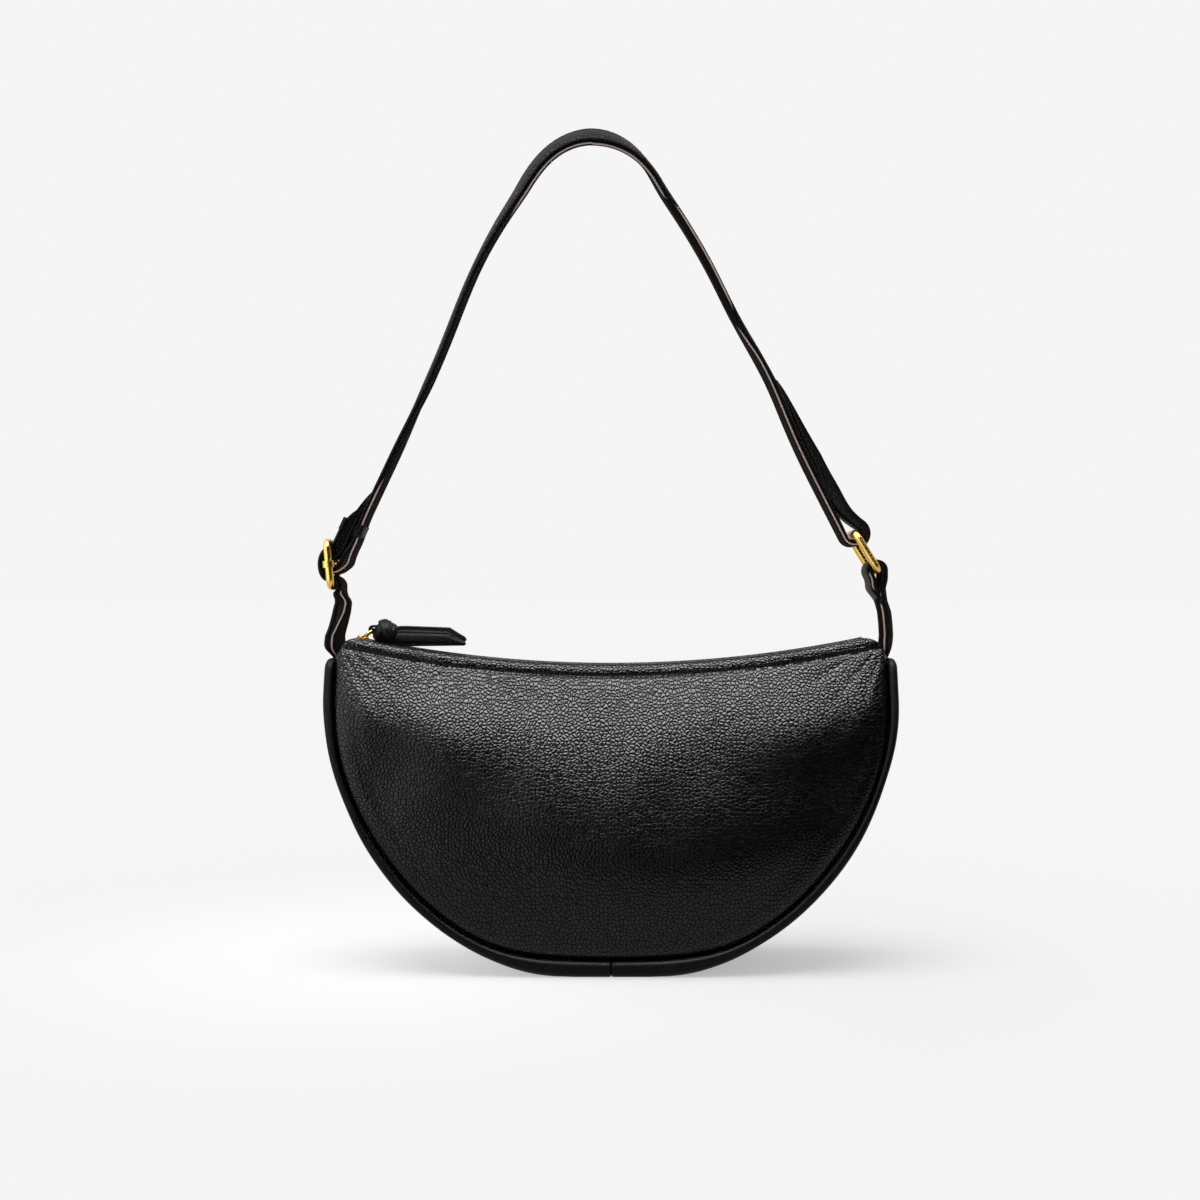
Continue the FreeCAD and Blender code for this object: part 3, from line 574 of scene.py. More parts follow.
# Relief of a panel's leather: heights, and the distances from the mouth or the seam between which they show
NOISE_PLANE = 50.0
WAVE_RISE = 1.3
WAVE_SIZES = (58.0, 31.0)
WAVE_FROM_EDGE = (2.0, 26.0)
WAVE_FROM_MOUTH = (6.0, 30.0)
PUCKER_RISE = 0.3
PUCKER_SIZE = 5.0
PUCKER_SHAPE = np.array([1.0, 1.0, 0.45])
PUCKER_DROP = STITCH_DROP + 1.5
PUCKER_REACH = 5.5
GROOVE_DEPTH = 0.75
GROOVE_WIDTH = 0.8
GROOVE_PULL = 0.2
HEM_LEAN = 0.18
HEM_RISE = 0.35
HEM_START = (0.8, 2.5)
HEM_END = (4.2, 5.6)
GATHER_RISE = 0.09
GATHER_FOLDS = (21.0, 37.0)
GATHER_TWIST = 0.05
GATHER_PEAK = (20.0, 22.0)
GATHER_START = (4.0, 12.0)
GATHER_FROM_EDGE = (1.0, 7.0)
SEAM_SWELL = (6.5, 3.5, 0.5)
SEAM_SWELL_START = (8.0, 24.0)
SIDE_FOLD_RISE = 3.0
SIDE_FOLD_HEIGHT = 92.0
SIDE_FOLD_CLIMB = 34.0
SIDE_FOLD_WIDTH = 19.0
SIDE_FOLD_START = (0.3, 0.7)
SIDE_FOLD_FROM_EDGE = (0.0, 16.0)


def quarter_round(distance, radius, drop):
    """How far a rounded edge falls away, from its full drop at the edge to nothing at the radius."""
    share = np.clip(1.0 - distance / radius, 0.0, 1.0)
    return drop * (1.0 - np.sqrt(1.0 - share ** 2))


def row_shares():
    """Rows of a panel: close together at the mouth's edge, its stitching and the seam."""
    near = np.array(MOUTH_ROWS) / PANEL_HEIGHT
    middle = np.linspace(near[-1], 1.0 - MIDDLE_END / PANEL_HEIGHT, MIDDLE_ROWS)[1:]
    far = 1.0 - np.array(SEAM_ROWS) / PANEL_HEIGHT
    return np.concatenate([near, middle, far])


def corner_gathers(x, z, seed):
    """Creases that fan out from the top corners, where the leather is gathered."""
    broad, narrow = GATHER_FOLDS
    total = np.zeros_like(x)
    for sign in (-1.0, 1.0):
        across = sign * x - PANEL_EDGE
        up = z - CORNER_START - CORNER_ROUND
        far = np.hypot(across, up)
        turn = np.arctan2(up, across)
        wave = np.sin(turn * broad + far * GATHER_TWIST + seed * sign) + 0.5 * np.sin(turn * narrow + seed)
        total += wave * bump(far, *GATHER_PEAK) * smooth_step(far, *GATHER_START)
    return total


def panel_relief(x, z, side, seed):
    """What waves, puckers, stitched groove, hem, gathers and side folds add to a panel's depth."""
    from_mouth = mouth_distance(x, z)
    from_edge = edge_distance(x, z)
    flat = grid_of(x, side * NOISE_PLANE, z)
    broad, narrow = WAVE_SIZES
    waves = soft_noise(flat, broad, seed) + 0.5 * soft_noise(flat, narrow, seed + 7.0)
    waves *= smooth_step(from_edge, *WAVE_FROM_EDGE) * smooth_step(from_mouth, *WAVE_FROM_MOUTH)
    puckers = soft_noise(flat * PUCKER_SHAPE, PUCKER_SIZE, seed + 3.0)
    puckers *= bump(from_mouth, PUCKER_DROP, PUCKER_REACH)
    pull = 1.0 - GROOVE_PULL + GROOVE_PULL * np.cos(x * math.tau / STITCH_PITCH)
    groove = bump(from_mouth, STITCH_DROP, GROOVE_WIDTH) * pull
    total = HEM_LEAN * np.clip(STITCH_DROP - from_mouth, 0.0, None) + WAVE_RISE * waves
    total += PUCKER_RISE * puckers - GROOVE_DEPTH * groove + HEM_RISE * window(from_mouth, HEM_START, HEM_END)
    total += GATHER_RISE * corner_gathers(x, z, seed) * smooth_step(from_edge, *GATHER_FROM_EDGE)
    total += peaks(from_edge, SEAM_SWELL) * smooth_step(from_mouth, *SEAM_SWELL_START)
    aside = np.abs(x) / PANEL_EDGE
    fold = SIDE_FOLD_RISE * bump(z, SIDE_FOLD_HEIGHT + SIDE_FOLD_CLIMB * aside, SIDE_FOLD_WIDTH)
    return total + fold * smooth_step(aside, *SIDE_FOLD_START) * smooth_step(from_edge, *SIDE_FOLD_FROM_EDGE)


def make_panel(name, side, node, seed):
    """One leather panel with its turned mouth edge, relief and rolled seam."""
    shares = row_shares()
    x, z = panel_places(shares)
    from_mouth = mouth_distance(x, z)
    plain = panel_depth(x, z)
    depth = plain + panel_relief(x, z, side, seed)
    sink = quarter_round(edge_distance(x, z), SEAM_ROLL, SEAM_SINK)
    depth -= sink * smooth_step(from_mouth, *SEAM_SINK_START)
    depth -= quarter_round(from_mouth, FOLD_ROUND, FOLD_ROUND)
    inner_x, inner_z = panel_places(shares[(shares > 0.0) & (shares < FOLD_REACH)][::-1])
    inner_depth = panel_depth(inner_x, inner_z) - FOLD_THICKNESS
    inner_depth += quarter_round(mouth_distance(inner_x, inner_z), FOLD_ROUND, FOLD_ROUND)
    inner = grid_of(inner_x, side * inner_depth, inner_z)
    rim = grid_of(x[-1:], side * (plain[-1:] - SEAM_SINK - RIM_SINK), z[-1:])
    grid = np.concatenate([inner, grid_of(x, side * depth, z), rim])
    piece = sheet_piece(name, grid, PEBBLED, side, PANEL_WALL)
    ride(piece, "bag", "pebbled_leather", node)


# Stitches
STITCH_RINGS = 7
STITCH_SIDES = 6
STITCH_DIP = 0.3
STITCH_SINK = 0.62
STITCH_WIDTH = 0.62
STITCH_SHARE = 0.8
STITCH_END_GAP = 2.0


def make_stitches(name, centres, directions, normals, length, width, body, slot):
    """Row of sunk thread stitches as one piece."""
    turns = full_turn(STITCH_SIDES)[:, None]
    parts = []
    for centre, direction, normal in zip(centres, directions, normals):
        along = direction / np.linalg.norm(direction)
        up = normal - along * (normal @ along)
        up = up / np.linalg.norm(up)
        around = np.cos(turns) * np.cross(along, up) + np.sin(turns) * up
        rings = []
        for station in np.linspace(-1.0, 1.0, STITCH_RINGS):
            swell = math.sqrt(max(1.0 - station ** 4, 0.02))
            middle = centre + along * station * length / 2.0 - up * STITCH_DIP * width * station ** 2
            rings.append(middle + around * swell * width / 2.0)
        parts.append(tube_part(np.array(rings)))
    ride(mesh_piece(name, *join_parts(parts), THREAD), body, slot)


def stitch_depth(x, z):
    """Half depth of the finished panel on the stitched line."""
    return panel_depth(x, z) - STITCH_SINK


def make_mouth_stitches(name, side):
    """Topstitching below the mouth's edge."""
    radius = MOUTH_RADIUS + STITCH_DROP
    spread = math.asin((CORNER_X - STITCH_END_GAP) / radius)
    angles = np.linspace(-spread, spread, int(2.0 * spread * radius / STITCH_PITCH))
    x = radius * np.sin(angles)
    z = MOUTH_CENTRE - radius * np.cos(angles)
    centres = grid_of(x, side * stitch_depth(x, z), z)
    slope = (stitch_depth(x, z + 1.0) - stitch_depth(x, z - 1.0)) / 2.0
    make_stitches(name, centres, np.gradient(centres, axis=0), grid_of(0.0, side, -slope),
                  STITCH_PITCH * STITCH_SHARE, STITCH_WIDTH, "bag", "pebbled_leather")


# Gusset: runs from the seam at the base, and drops from the top end
BASE_RUNS = (0.0, 0.06, 0.2, 0.45, 0.8, 1.2, 1.6, 2.2, 3.0)
ARC_START = 4.0
ARC_STATIONS = 118
CLIMB_START = 1.5
CLIMB_END = 6.0
TOP_DROPS = (5.0, 4.0, 3.1, 2.3, 1.6, 1.0, 0.6, 0.3, 0.1, 0.0)
TOP_ROUND = 5.0
TOP_INSET = 2.4
TOP_TURN = (3.0, 1.0)
END_ROLL = 1.5
END_ROLL_DROP = 1.2
SIDE_BULGE = 2.2
BULGE_HEIGHTS = (70.0, 130.0)
GROOVE_SINK = 4.5
LIP_GAP = 0.1
LIP_OUT = 0.4
LIP_ROUND = 0.4
LIP_FLAT = 0.8
EDGE_ROUND = 0.55
FLOOR_SHARES = (0.8, 0.6, 0.4, 0.2)
RIPPLE = 0.35
RIPPLE_SIZE = 26.0
RIPPLE_START = (1.0, 12.0)
GUSSET_WALL = 1.1
QUARTER_TURNS = np.linspace(0.0, math.pi / 2.0, 8)


def gusset_stations():
    """(angle from straight down, height of its centre, inset) along one half, from the base to the top."""
    upright = math.pi / 2.0
    arc = np.concatenate([BASE_RUNS, np.linspace(ARC_START, BAG_RADIUS * upright, ARC_STATIONS)])
    stations = [(run / BAG_RADIUS, CENTRE_HEIGHT, quarter_round(run, END_ROLL, END_ROLL_DROP)) for run in arc]
    top = SIDE_TOP - CENTRE_HEIGHT
    for climb in (*np.linspace(CLIMB_START, top - CLIMB_END, 8), *(top - np.array(TOP_DROPS))):
        stations.append((upright, CENTRE_HEIGHT + climb, quarter_round(top - climb, TOP_ROUND, TOP_INSET)))
    turn_drop, turn_inset = TOP_TURN
    stations.append((upright, SIDE_TOP - turn_drop, TOP_INSET + turn_inset))
    return stations


def gusset_section(lean, origin_z, inset, side):
    """Open section of the gusset: groove, rolled lip, edge, floor, edge, lip and groove."""
    outer = bag_distance(lean) - inset
    outer += SIDE_BULGE * float(smooth_step(origin_z - outer * math.cos(lean), *BULGE_HEIGHTS))
    lip = float(seam_distance(lean)) + LIP_GAP
    half = float(gusset_half(origin_z - lip * math.cos(lean))) + LIP_OUT - inset
    lip_round = LIP_ROUND * (outer - lip)
    edge_round = EDGE_ROUND * (outer - lip)
    sines, cosines = np.sin(QUARTER_TURNS), np.cos(QUARTER_TURNS)
    profile = [(lip, half - GROOVE_SINK), (lip, half - lip_round - LIP_FLAT)]
    profile += zip(lip + lip_round * (1.0 - cosines), half - lip_round * (1.0 - sines))
    profile += zip(outer - edge_round * (1.0 - sines), half - edge_round * (1.0 - cosines))
    profile += [(outer, (half - edge_round) * share) for share in FLOOR_SHARES]
    front = [(radius, -depth) for radius, depth in profile] + [(outer, 0.0)]
    radii, y = np.array(front + profile[::-1]).T
    return grid_of(side * radii * math.sin(lean), y, np.maximum(origin_z - radii * math.cos(lean), 0.0))


def make_gusset(name, side, node):
    """One half of the gusset, with rolled lips, a rolled seam at the base and a turned top end."""
    grid = np.array([gusset_section(*station, side) for station in gusset_stations()])
    ripple = RIPPLE * soft_noise(grid, RIPPLE_SIZE, 11.0 + side) * smooth_step(grid[..., 2], *RIPPLE_START)
    outward = grid_of(grid[..., 0], 0.0, grid[..., 2] - CENTRE_HEIGHT)
    outward /= np.linalg.norm(outward, axis=-1, keepdims=True)
    piece = sheet_piece(name, grid + outward * ripple[..., None], SMOOTH, side, GUSSET_WALL)
    ride(piece, "bag", "smooth_leather", node)


# Lining and zip tapes
LINING_INSET = LEATHER + 0.3
LINING_ROWS = np.linspace(0.06, 0.985, 44)
LINING_COLUMN_STEP = 4
LINING_SLACK = 1.6
LINING_WAVE = 0.5
LINING_WAVE_SIZE = 22.0
LINING_WIDTH_SHARE = 0.985
LINING_ROLL = 12.0
LINING_SINK = 2.4
LINING_TOP = 144.4
LINING_GAP = 2.6
LINING_TURN_POWER = 8
LINING_LEANS = np.radians(np.linspace(-90.0, 90.0, 121))
TAPE_HALF_LENGTH = 129.0
TAPE_INNER = 2.3
TAPE_OUTER = 10.5
TAPE_TUCK = 0.2
TAPE_SAG = 0.5
TAPE_THICKNESS = 0.8


def make_lining_panel(name, side, node):
    """Cloth panel that hangs inside its leather panel."""
    x, z = (places[:, ::LINING_COLUMN_STEP] for places in panel_places(LINING_ROWS))
    wave = LINING_WAVE * soft_noise(grid_of(x, side * NOISE_PLANE, z), LINING_WAVE_SIZE, 5.0 + side)
    depth = panel_depth(x, z) - LINING_INSET - LINING_SLACK + wave
    depth -= quarter_round(edge_distance(x, z), LINING_ROLL, LINING_SINK)
    grid = grid_of(x * LINING_WIDTH_SHARE, side * depth, z)
    piece = sheet_piece(name, grid, LINING_CLOTH, side, LINING)
    ride(piece, "bag", "lining_fabric", node)


def make_lining_gusset(name, node):
    """Cloth strip inside the gusset, from one top end round the base to the other."""
    ends = [(sign * math.pi / 2.0, LINING_TOP) for sign in (-1.0, 1.0)]
    shares = np.linspace(-1.0, 1.0, 21)
    rows = []
    for lean, origin_z in ends[:1] + [(lean, CENTRE_HEIGHT) for lean in LINING_LEANS] + ends[1:]:
        outer = bag_distance(lean) - LINING_INSET
        half = float(gusset_half(origin_z - outer * math.cos(lean))) - LINING_INSET - LINING_GAP
        radii = outer - LINING_GAP * np.abs(shares) ** LINING_TURN_POWER
        rows.append(grid_of(radii * math.sin(lean), shares * half, origin_z - radii * math.cos(lean)))
    piece = sheet_piece(name, np.array(rows), LINING_CLOTH, 1.0, LINING)
    ride(piece, "bag", "lining_fabric", node)


def make_tape(name, side, node):
    """Woven tape of one side of the zip, sewn to the panel's turned edge."""
    spread = math.asin(TAPE_HALF_LENGTH / ZIP_RADIUS)
    angles = np.linspace(-spread, spread, 141)[:, None]
    shares = np.linspace(0.0, 1.0, 9)[None, :]
    x = ZIP_RADIUS * np.sin(angles)
    z = MOUTH_CENTRE - ZIP_RADIUS * np.cos(angles)
    outer = np.minimum(panel_depth(x, z) - FOLD_THICKNESS + TAPE_TUCK, TAPE_OUTER)
    y = TAPE_INNER + (outer - TAPE_INNER) * shares
    grid = grid_of(x, side * y, z - TAPE_SAG * np.sin(math.pi * shares) ** 2)
    piece = sheet_piece(name, grid, TAPE, side, TAPE_THICKNESS, 0.0)
    ride(piece, "bag", "zip_fabric", node)


CORNER_TURNS = np.linspace(0.0, math.pi / 2.0, 5)
FLAT_SHARES = np.linspace(1.0, -1.0, 7)[1:-1]


def rounded_section(low, high, half, round_low, round_high, crown=0.0):
    """Closed section of (t, w) points: t from low to high, w out to a half width, with rounded corners."""
    middle = (low + high) / 2.0
    corners = ((high, half, round_high), (high, -half, round_high), (low, -half, round_low),
               (low, half, round_low))
    section = []
    for index, (t, w, wanted) in enumerate(corners):
        radius = max(min(wanted, (high - low) / 2.01, half / 2.0), 0.01)
        out_t, out_w = math.copysign(radius, t - middle), math.copysign(radius, w)
        for angle in CORNER_TURNS if index % 2 else CORNER_TURNS[::-1]:
            section.append((t - out_t + out_t * math.sin(angle), w - out_w + out_w * math.cos(angle)))
        if index % 2 == 0:
            section.extend((t, share * (w - out_w)) for share in FLAT_SHARES)
    section = np.array(section)
    raised = crown * np.maximum(1.0 - (section[:, 1] / half) ** 2, 0.0)
    section[:, 0] += raised * (section[:, 0] > middle)
    return section


# Strap routes: straight runs between turns, like a belt over pulleys.
# A stop is (x, z, radius): a positive radius turns left, a negative one right, and zero is an end.
ROUTE_STEP = 1.6
ROUTE_LEAST = 0.05
TURN_STEP = math.radians(9.0)


def run_heading(start, end):
    apart_x, apart_z = end[0] - start[0], end[1] - start[1]
    return math.atan2(apart_z, apart_x) - math.asin((end[2] - start[2]) / math.hypot(apart_x, apart_z))


def step_from(place, heading, ahead, left):
    """Place moved ahead along a heading and to its left."""
    return (place[0] + ahead * math.cos(heading) - left * math.sin(heading),
            place[1] + ahead * math.sin(heading) + left * math.cos(heading))


def on_stop(stop, heading):
    return step_from(stop, heading, 0.0, -stop[2])


def fold_back(stop, heading, bend_run, bend_radius, length):
    """Stops of a strap end that has turned round a bar and lies along its own strap again."""
    start = step_from(on_stop(stop, heading), heading, 0.0, PLY_STEP)
    bend_place = step_from(start, heading, -bend_run, bend_radius)
    tip = step_from(start, heading, -length, 0.0)
    return [(*bend_place, -bend_radius), (*tip, 0.0)]


def follow(stops):
    """Places and headings along a route."""
    headings = [run_heading(start, end) for start, end in zip(stops, stops[1:])]
    line = []
    for index, heading in enumerate(headings):
        start = np.array(on_stop(stops[index], heading))
        end = np.array(on_stop(stops[index + 1], heading))
        count = max(int(np.linalg.norm(end - start) / ROUTE_STEP), 1)
        line.extend((*(start + (end - start) * share), heading) for share in np.linspace(0.0, 1.0, count + 1))
        if index + 1 < len(headings):
            stop = stops[index + 1]
            turn = (headings[index + 1] - heading) % math.tau
            if stop[2] < 0.0:
                turn -= math.tau
            count = max(int(abs(turn) / TURN_STEP), int(abs(turn * stop[2]) / ROUTE_STEP), 1)
            for share in np.linspace(0.0, 1.0, count + 1)[1:-1]:
                line.append((*on_stop(stop, heading + share * turn), heading + share * turn))
    line = np.array(line)
    apart = np.concatenate([[True], np.diff(line_run(line[:, :2])) > ROUTE_LEAST])
    return line[apart]


def sweep(line, sections, rolls):
    """Grid of points: sections of (t, w) along a route, t to its left and w to the back, rolled about it."""
    t, w = sections[..., 0], sections[..., 1]
    roll = np.asarray(rolls)[:, None]
    out = t * np.cos(roll) - w * np.sin(roll)
    across = t * np.sin(roll) + w * np.cos(roll)
    x, z, heading = line.T[..., None]
    return grid_of(x - out * np.sin(heading), across, z + out * np.cos(heading))


# Strap plan, from the CAD model
STRAP_HALF = 9.0
STRAP_INNER = 1.6
PLY_STEP = 3.4
ROOT_X = 132.5
ROOT_HEIGHT = 156.0
ROOT_LOW = 147.0
FRAME_HEADING = math.radians(95.0)
BAR = (-136.4, 194.5)
RAIL_TURN = 3.6
BAR_TURN = 3.25
RAIL_APART = 10.6
LOWER_RAIL = step_from(BAR, FRAME_HEADING, -RAIL_APART, 0.0)
UPPER_RAIL = step_from(BAR, FRAME_HEADING, RAIL_APART, 0.0)
MAIN_HEADING = math.radians(64.8)
TAIL_RUN = 20.0
LEFT_END_RUN = 32.0
SHOULDER = (-9.0, 364.088, -38.0)
RING_HEADING = math.radians(121.5)
RING_LOW = (129.2, 191.5)
RING_HIGH = step_from(RING_LOW, RING_HEADING, 21.0, 0.0)
STRAP_LOOP = 4.6
STRAP_FOLD = (22.0, 40.0, 84.0)
TAB_LOOP = 3.7
TAB_FOLD = (12.0, 14.0, 23.5)


def beside_rail(ply, run):
    """Place on a ply of the left strap, counted from the tail, at a run above the upper rail."""
    return step_from(UPPER_RAIL, MAIN_HEADING, run, -RAIL_TURN - ply * PLY_STEP)


def lower_strap_line():
    """Corner root, lower rail, round the bar, upper rail, tail."""
    return follow([(-ROOT_X, ROOT_LOW, 0.0), (*LOWER_RAIL, RAIL_TURN), (*BAR, -BAR_TURN - PLY_STEP),
                   (*UPPER_RAIL, RAIL_TURN), (*beside_rail(0, TAIL_RUN), 0.0)])


def main_strap_line():
    """Folded end, round the bar, over the shoulder, round the ring, folded end."""
    loop = (*RING_HIGH, STRAP_LOOP)
    end = fold_back(loop, run_heading(SHOULDER, loop), *STRAP_FOLD)
    return follow([(*beside_rail(1, LEFT_END_RUN), 0.0), (*UPPER_RAIL, -RAIL_TURN - PLY_STEP),
                   (*BAR, BAR_TURN), (*UPPER_RAIL, RAIL_TURN + 2.0 * PLY_STEP), SHOULDER, loop] + end)


def ring_tab_line():
    """Corner root, round the ring's lower bar, folded end."""
    root = (ROOT_X, ROOT_LOW, 0.0)
    loop = (*RING_LOW, TAB_LOOP)
    return follow([root, loop] + fold_back(loop, run_heading(root, loop), *TAB_FOLD))


# Strap plies: rounds are those of a ply's inner and outer edges, then its crown
LINING_PLY = 0.5
CORE_PLY = 0.8
CORE_LEAST = 0.02
CORE_RECESS = 0.18
HIDDEN_RECESS = 0.5
COVER_ROUNDS = (0.25, 1.3, 0.3)
CORE_ROUNDS = (0.05, 0.05)
LINING_ROUNDS = (0.22, 0.2)
HALF_LEAST = 0.6
FREE_SWELL = 0.5
TIP_LENGTH = 9.0
TIP_POWER = 2.6
TIP_PARED = 0.88
BEND_START = 150.0
BEND_END = 174.0


class StrapForm:
    """How a strap's section changes along its route: one value at every station."""

    def __init__(self, line):
        count = len(line)
        self.line = line
        self.run = line_run(line[:, :2])
        self.left = self.run[-1] - self.run
        self.roll = np.zeros(count)
        self.more_out = np.zeros(count)
        self.more_in = np.zeros(count)
        self.shown = np.ones(count)
        self.outside = np.zeros(count)
        self.half = np.full(count, STRAP_HALF)
        self.thin = np.ones(count)
        self.face = 1.0
        self.held = 0.0

    def round_root(self):
        below = np.clip((ROOT_HEIGHT - self.line[:, 1]) / STRAP_HALF, 0.0, 0.999)
        self.half = np.minimum(self.half, STRAP_HALF * np.sqrt(1.0 - below ** 2))

    def round_tip(self, left, length):
        """Rounded end, pared thin."""
        share = np.clip(1.0 - left / length, 0.0, 0.985)
        self.half = np.minimum(self.half, STRAP_HALF * np.sqrt(1.0 - share ** TIP_POWER))
        self.thin = np.minimum(self.thin, 1.0 - TIP_PARED * share)

    def bands(self):
        """Offsets of the lining's face, both faces of the core and the cover's face.

        Where an end is pared, held says which face stays: 0 for the lining's and 1 for the cover's.
        """
        outer = STRAP_INNER + self.more_out
        inner = -STRAP_INNER - self.more_in
        pared = (outer - inner) * (1.0 - self.thin)
        outer = outer - pared * (1.0 - self.held)
        inner = inner + pared * self.held
        low = inner + LINING_PLY * self.thin
        high = outer - (LINING_PLY + CORE_PLY) * self.thin
        core_low = low + (high - low) * self.outside
        core_high = core_low + CORE_PLY * self.thin * self.shown + CORE_LEAST
        return inner, core_low, core_high, outer


def strap_pieces(label, form, root=None):
    """Cover, pale core and lining of one strap, with rounded edges; one with a root is baked in place and not
    attached to the strap's body.
    """
    inner, core_low, core_high, outer = form.bands()
    half = np.maximum(form.half, HALF_LEAST)
    core_half = half - (CORE_RECESS + HIDDEN_RECESS * (1.0 - form.shown))
    plies = (("cover", STRAP, "strap_leather", (core_high, outer, half), COVER_ROUNDS),
             ("core", CORE, "pale_core", (core_low, core_high, core_half), CORE_ROUNDS),
             ("lining", UNDERSIDE, "strap_leather", (inner, core_low, half), LINING_ROUNDS))
    for ply, material, slot, limits, rounds in plies:
        sections = np.array([rounded_section(*limit, *rounds) for limit in zip(*limits)])
        grid = sweep(form.line, sections * np.array([form.face, 1.0]), form.roll)
        piece = closed_piece(f"{label}_{ply}_leather", [tube_part(grid)], material)
        if root is None:
            ride(piece, "strap", slot, f"{label}_{ply}")
        else:
            bend(piece, (root, 0.0, BEND_START), (root, 0.0, BEND_END), slot, f"{label}_{ply}")


STRAP_STITCH_PITCH = 3.0
STRAP_STITCH_PLACE = 6.9
STRAP_STITCH_SINK = 0.05
STRAP_STITCH_SHARE = 0.74
STRAP_STITCH_WIDTH = 0.5
STRAP_STITCH_START = 296.0


def strap_stitches(name, form):
    """Two rows of stitches on the strap's outer face, near its edges, where it is high up."""
    places = np.arange(STRAP_STITCH_PITCH, form.run[-1] - STRAP_STITCH_PITCH, STRAP_STITCH_PITCH)
    places = places[np.interp(places, form.run, form.line[:, 1]) > STRAP_STITCH_START]
    line = np.stack([np.interp(places, form.run, column) for column in form.line.T], axis=1)
    roll = np.interp(places, form.run, form.roll)
    height = np.interp(places, form.run, form.bands()[3]) - STRAP_STITCH_SINK
    ahead = grid_of(np.cos(line[:, 2]), 0.0, np.sin(line[:, 2]))
    centres, normals = [], []
    for w in (-STRAP_STITCH_PLACE, STRAP_STITCH_PLACE):
        section = np.stack([height, np.full_like(height, w)], axis=1)[:, None]
        centre = sweep(line, section, roll)[:, 0]
        centres.extend(centre)
        normals.extend(sweep(line, section + np.array([1.0, 0.0]), roll)[:, 0] - centre)
    make_stitches(name, centres, [*ahead, *ahead], normals, STRAP_STITCH_PITCH * STRAP_STITCH_SHARE,
                  STRAP_STITCH_WIDTH, "strap", "strap_leather")


# Main strap: heights between which its form changes, and (middle, width, height) of its bumps.
# Bumps near the adjuster and the ring are placed by their run from the nearer end.
LEFT_FREE = (246.0, 285.0)
RIGHT_FREE = (290.0, 312.0)
TOP_SPREAD = math.radians(64.0)
TOP_START = 350.0
TOP_ROLL = -29.0
LEFT_ROLL = -11.0
LEFT_TWIST = -9.0
LEFT_TWIST_HEIGHTS = (335.0, 392.0)
RIGHT_ROLL = -5.0
LEFT_FOLD = 48.0
RIGHT_FOLD = 92.0
DOUBLED = ((222.0, 240.0), (268.0, 292.0))
DOUBLED_SWELL = 0.9
BAR_SWELL = (57.0, 6.0, 2.2)
RING_ROOM = (91.0, 14.0, 0.7)
FOLD_SWELL = 1.5
FOLD_INNER_BUMP = (226.0, 9.0, 1.2)
FOLD_OUTER_BUMP = (231.0, 7.0, 1.2)
LEFT_HIDDEN = ((230.0, 240.0), (360.0, 372.0))
RIGHT_HIDDEN = ((371.0, 3.0, 1.2), (314.0, 5.5, 1.2))
RIGHT_CORE_OUTSIDE = ((310.0, 318.0), (369.0, 374.0))
LEFT_CORE_OUTSIDE = 0.14
LEFT_CORE_HEIGHTS = (360.0, 374.0)
SKIVE = 14.0
LEG_BOW = (338.0, 34.0, 3.0)
LEG_BOW_START = 60.0
RIGHT_BOW = ((287.0, 26.0, 2.9), (338.0, 26.0, 1.9))
RIGHT_OUT = np.array([0.883, 0.469])
APEX_LIFT = 2.4
APEX_TUCK = (384.0, 16.0, 1.7)
BAR_PUSH = ((55.0, 5.0, 3.2), (67.0, 9.0, 1.4))
BULGE_START = -138.5
BULGE_REACH = 16.0
BULGE_SQUEEZE = 0.5
STAND_OFF = 0.9
STAND_OFF_HEIGHTS = (216.0, 240.0)


def squeeze_bulge(line):
    """Pull the leather round the adjuster's bar close to it."""
    over = np.clip(BULGE_START - line[:, 0], 0.0, None) * (np.abs(line[:, 1] - BAR[1]) < BULGE_REACH)
    line[:, 0] += BULGE_SQUEEZE * over


def push_left(line, amount):
    """Move a route to the left of its headings."""
    line[:, 0] -= amount * np.sin(line[:, 2])
    line[:, 1] += amount * np.cos(line[:, 2])


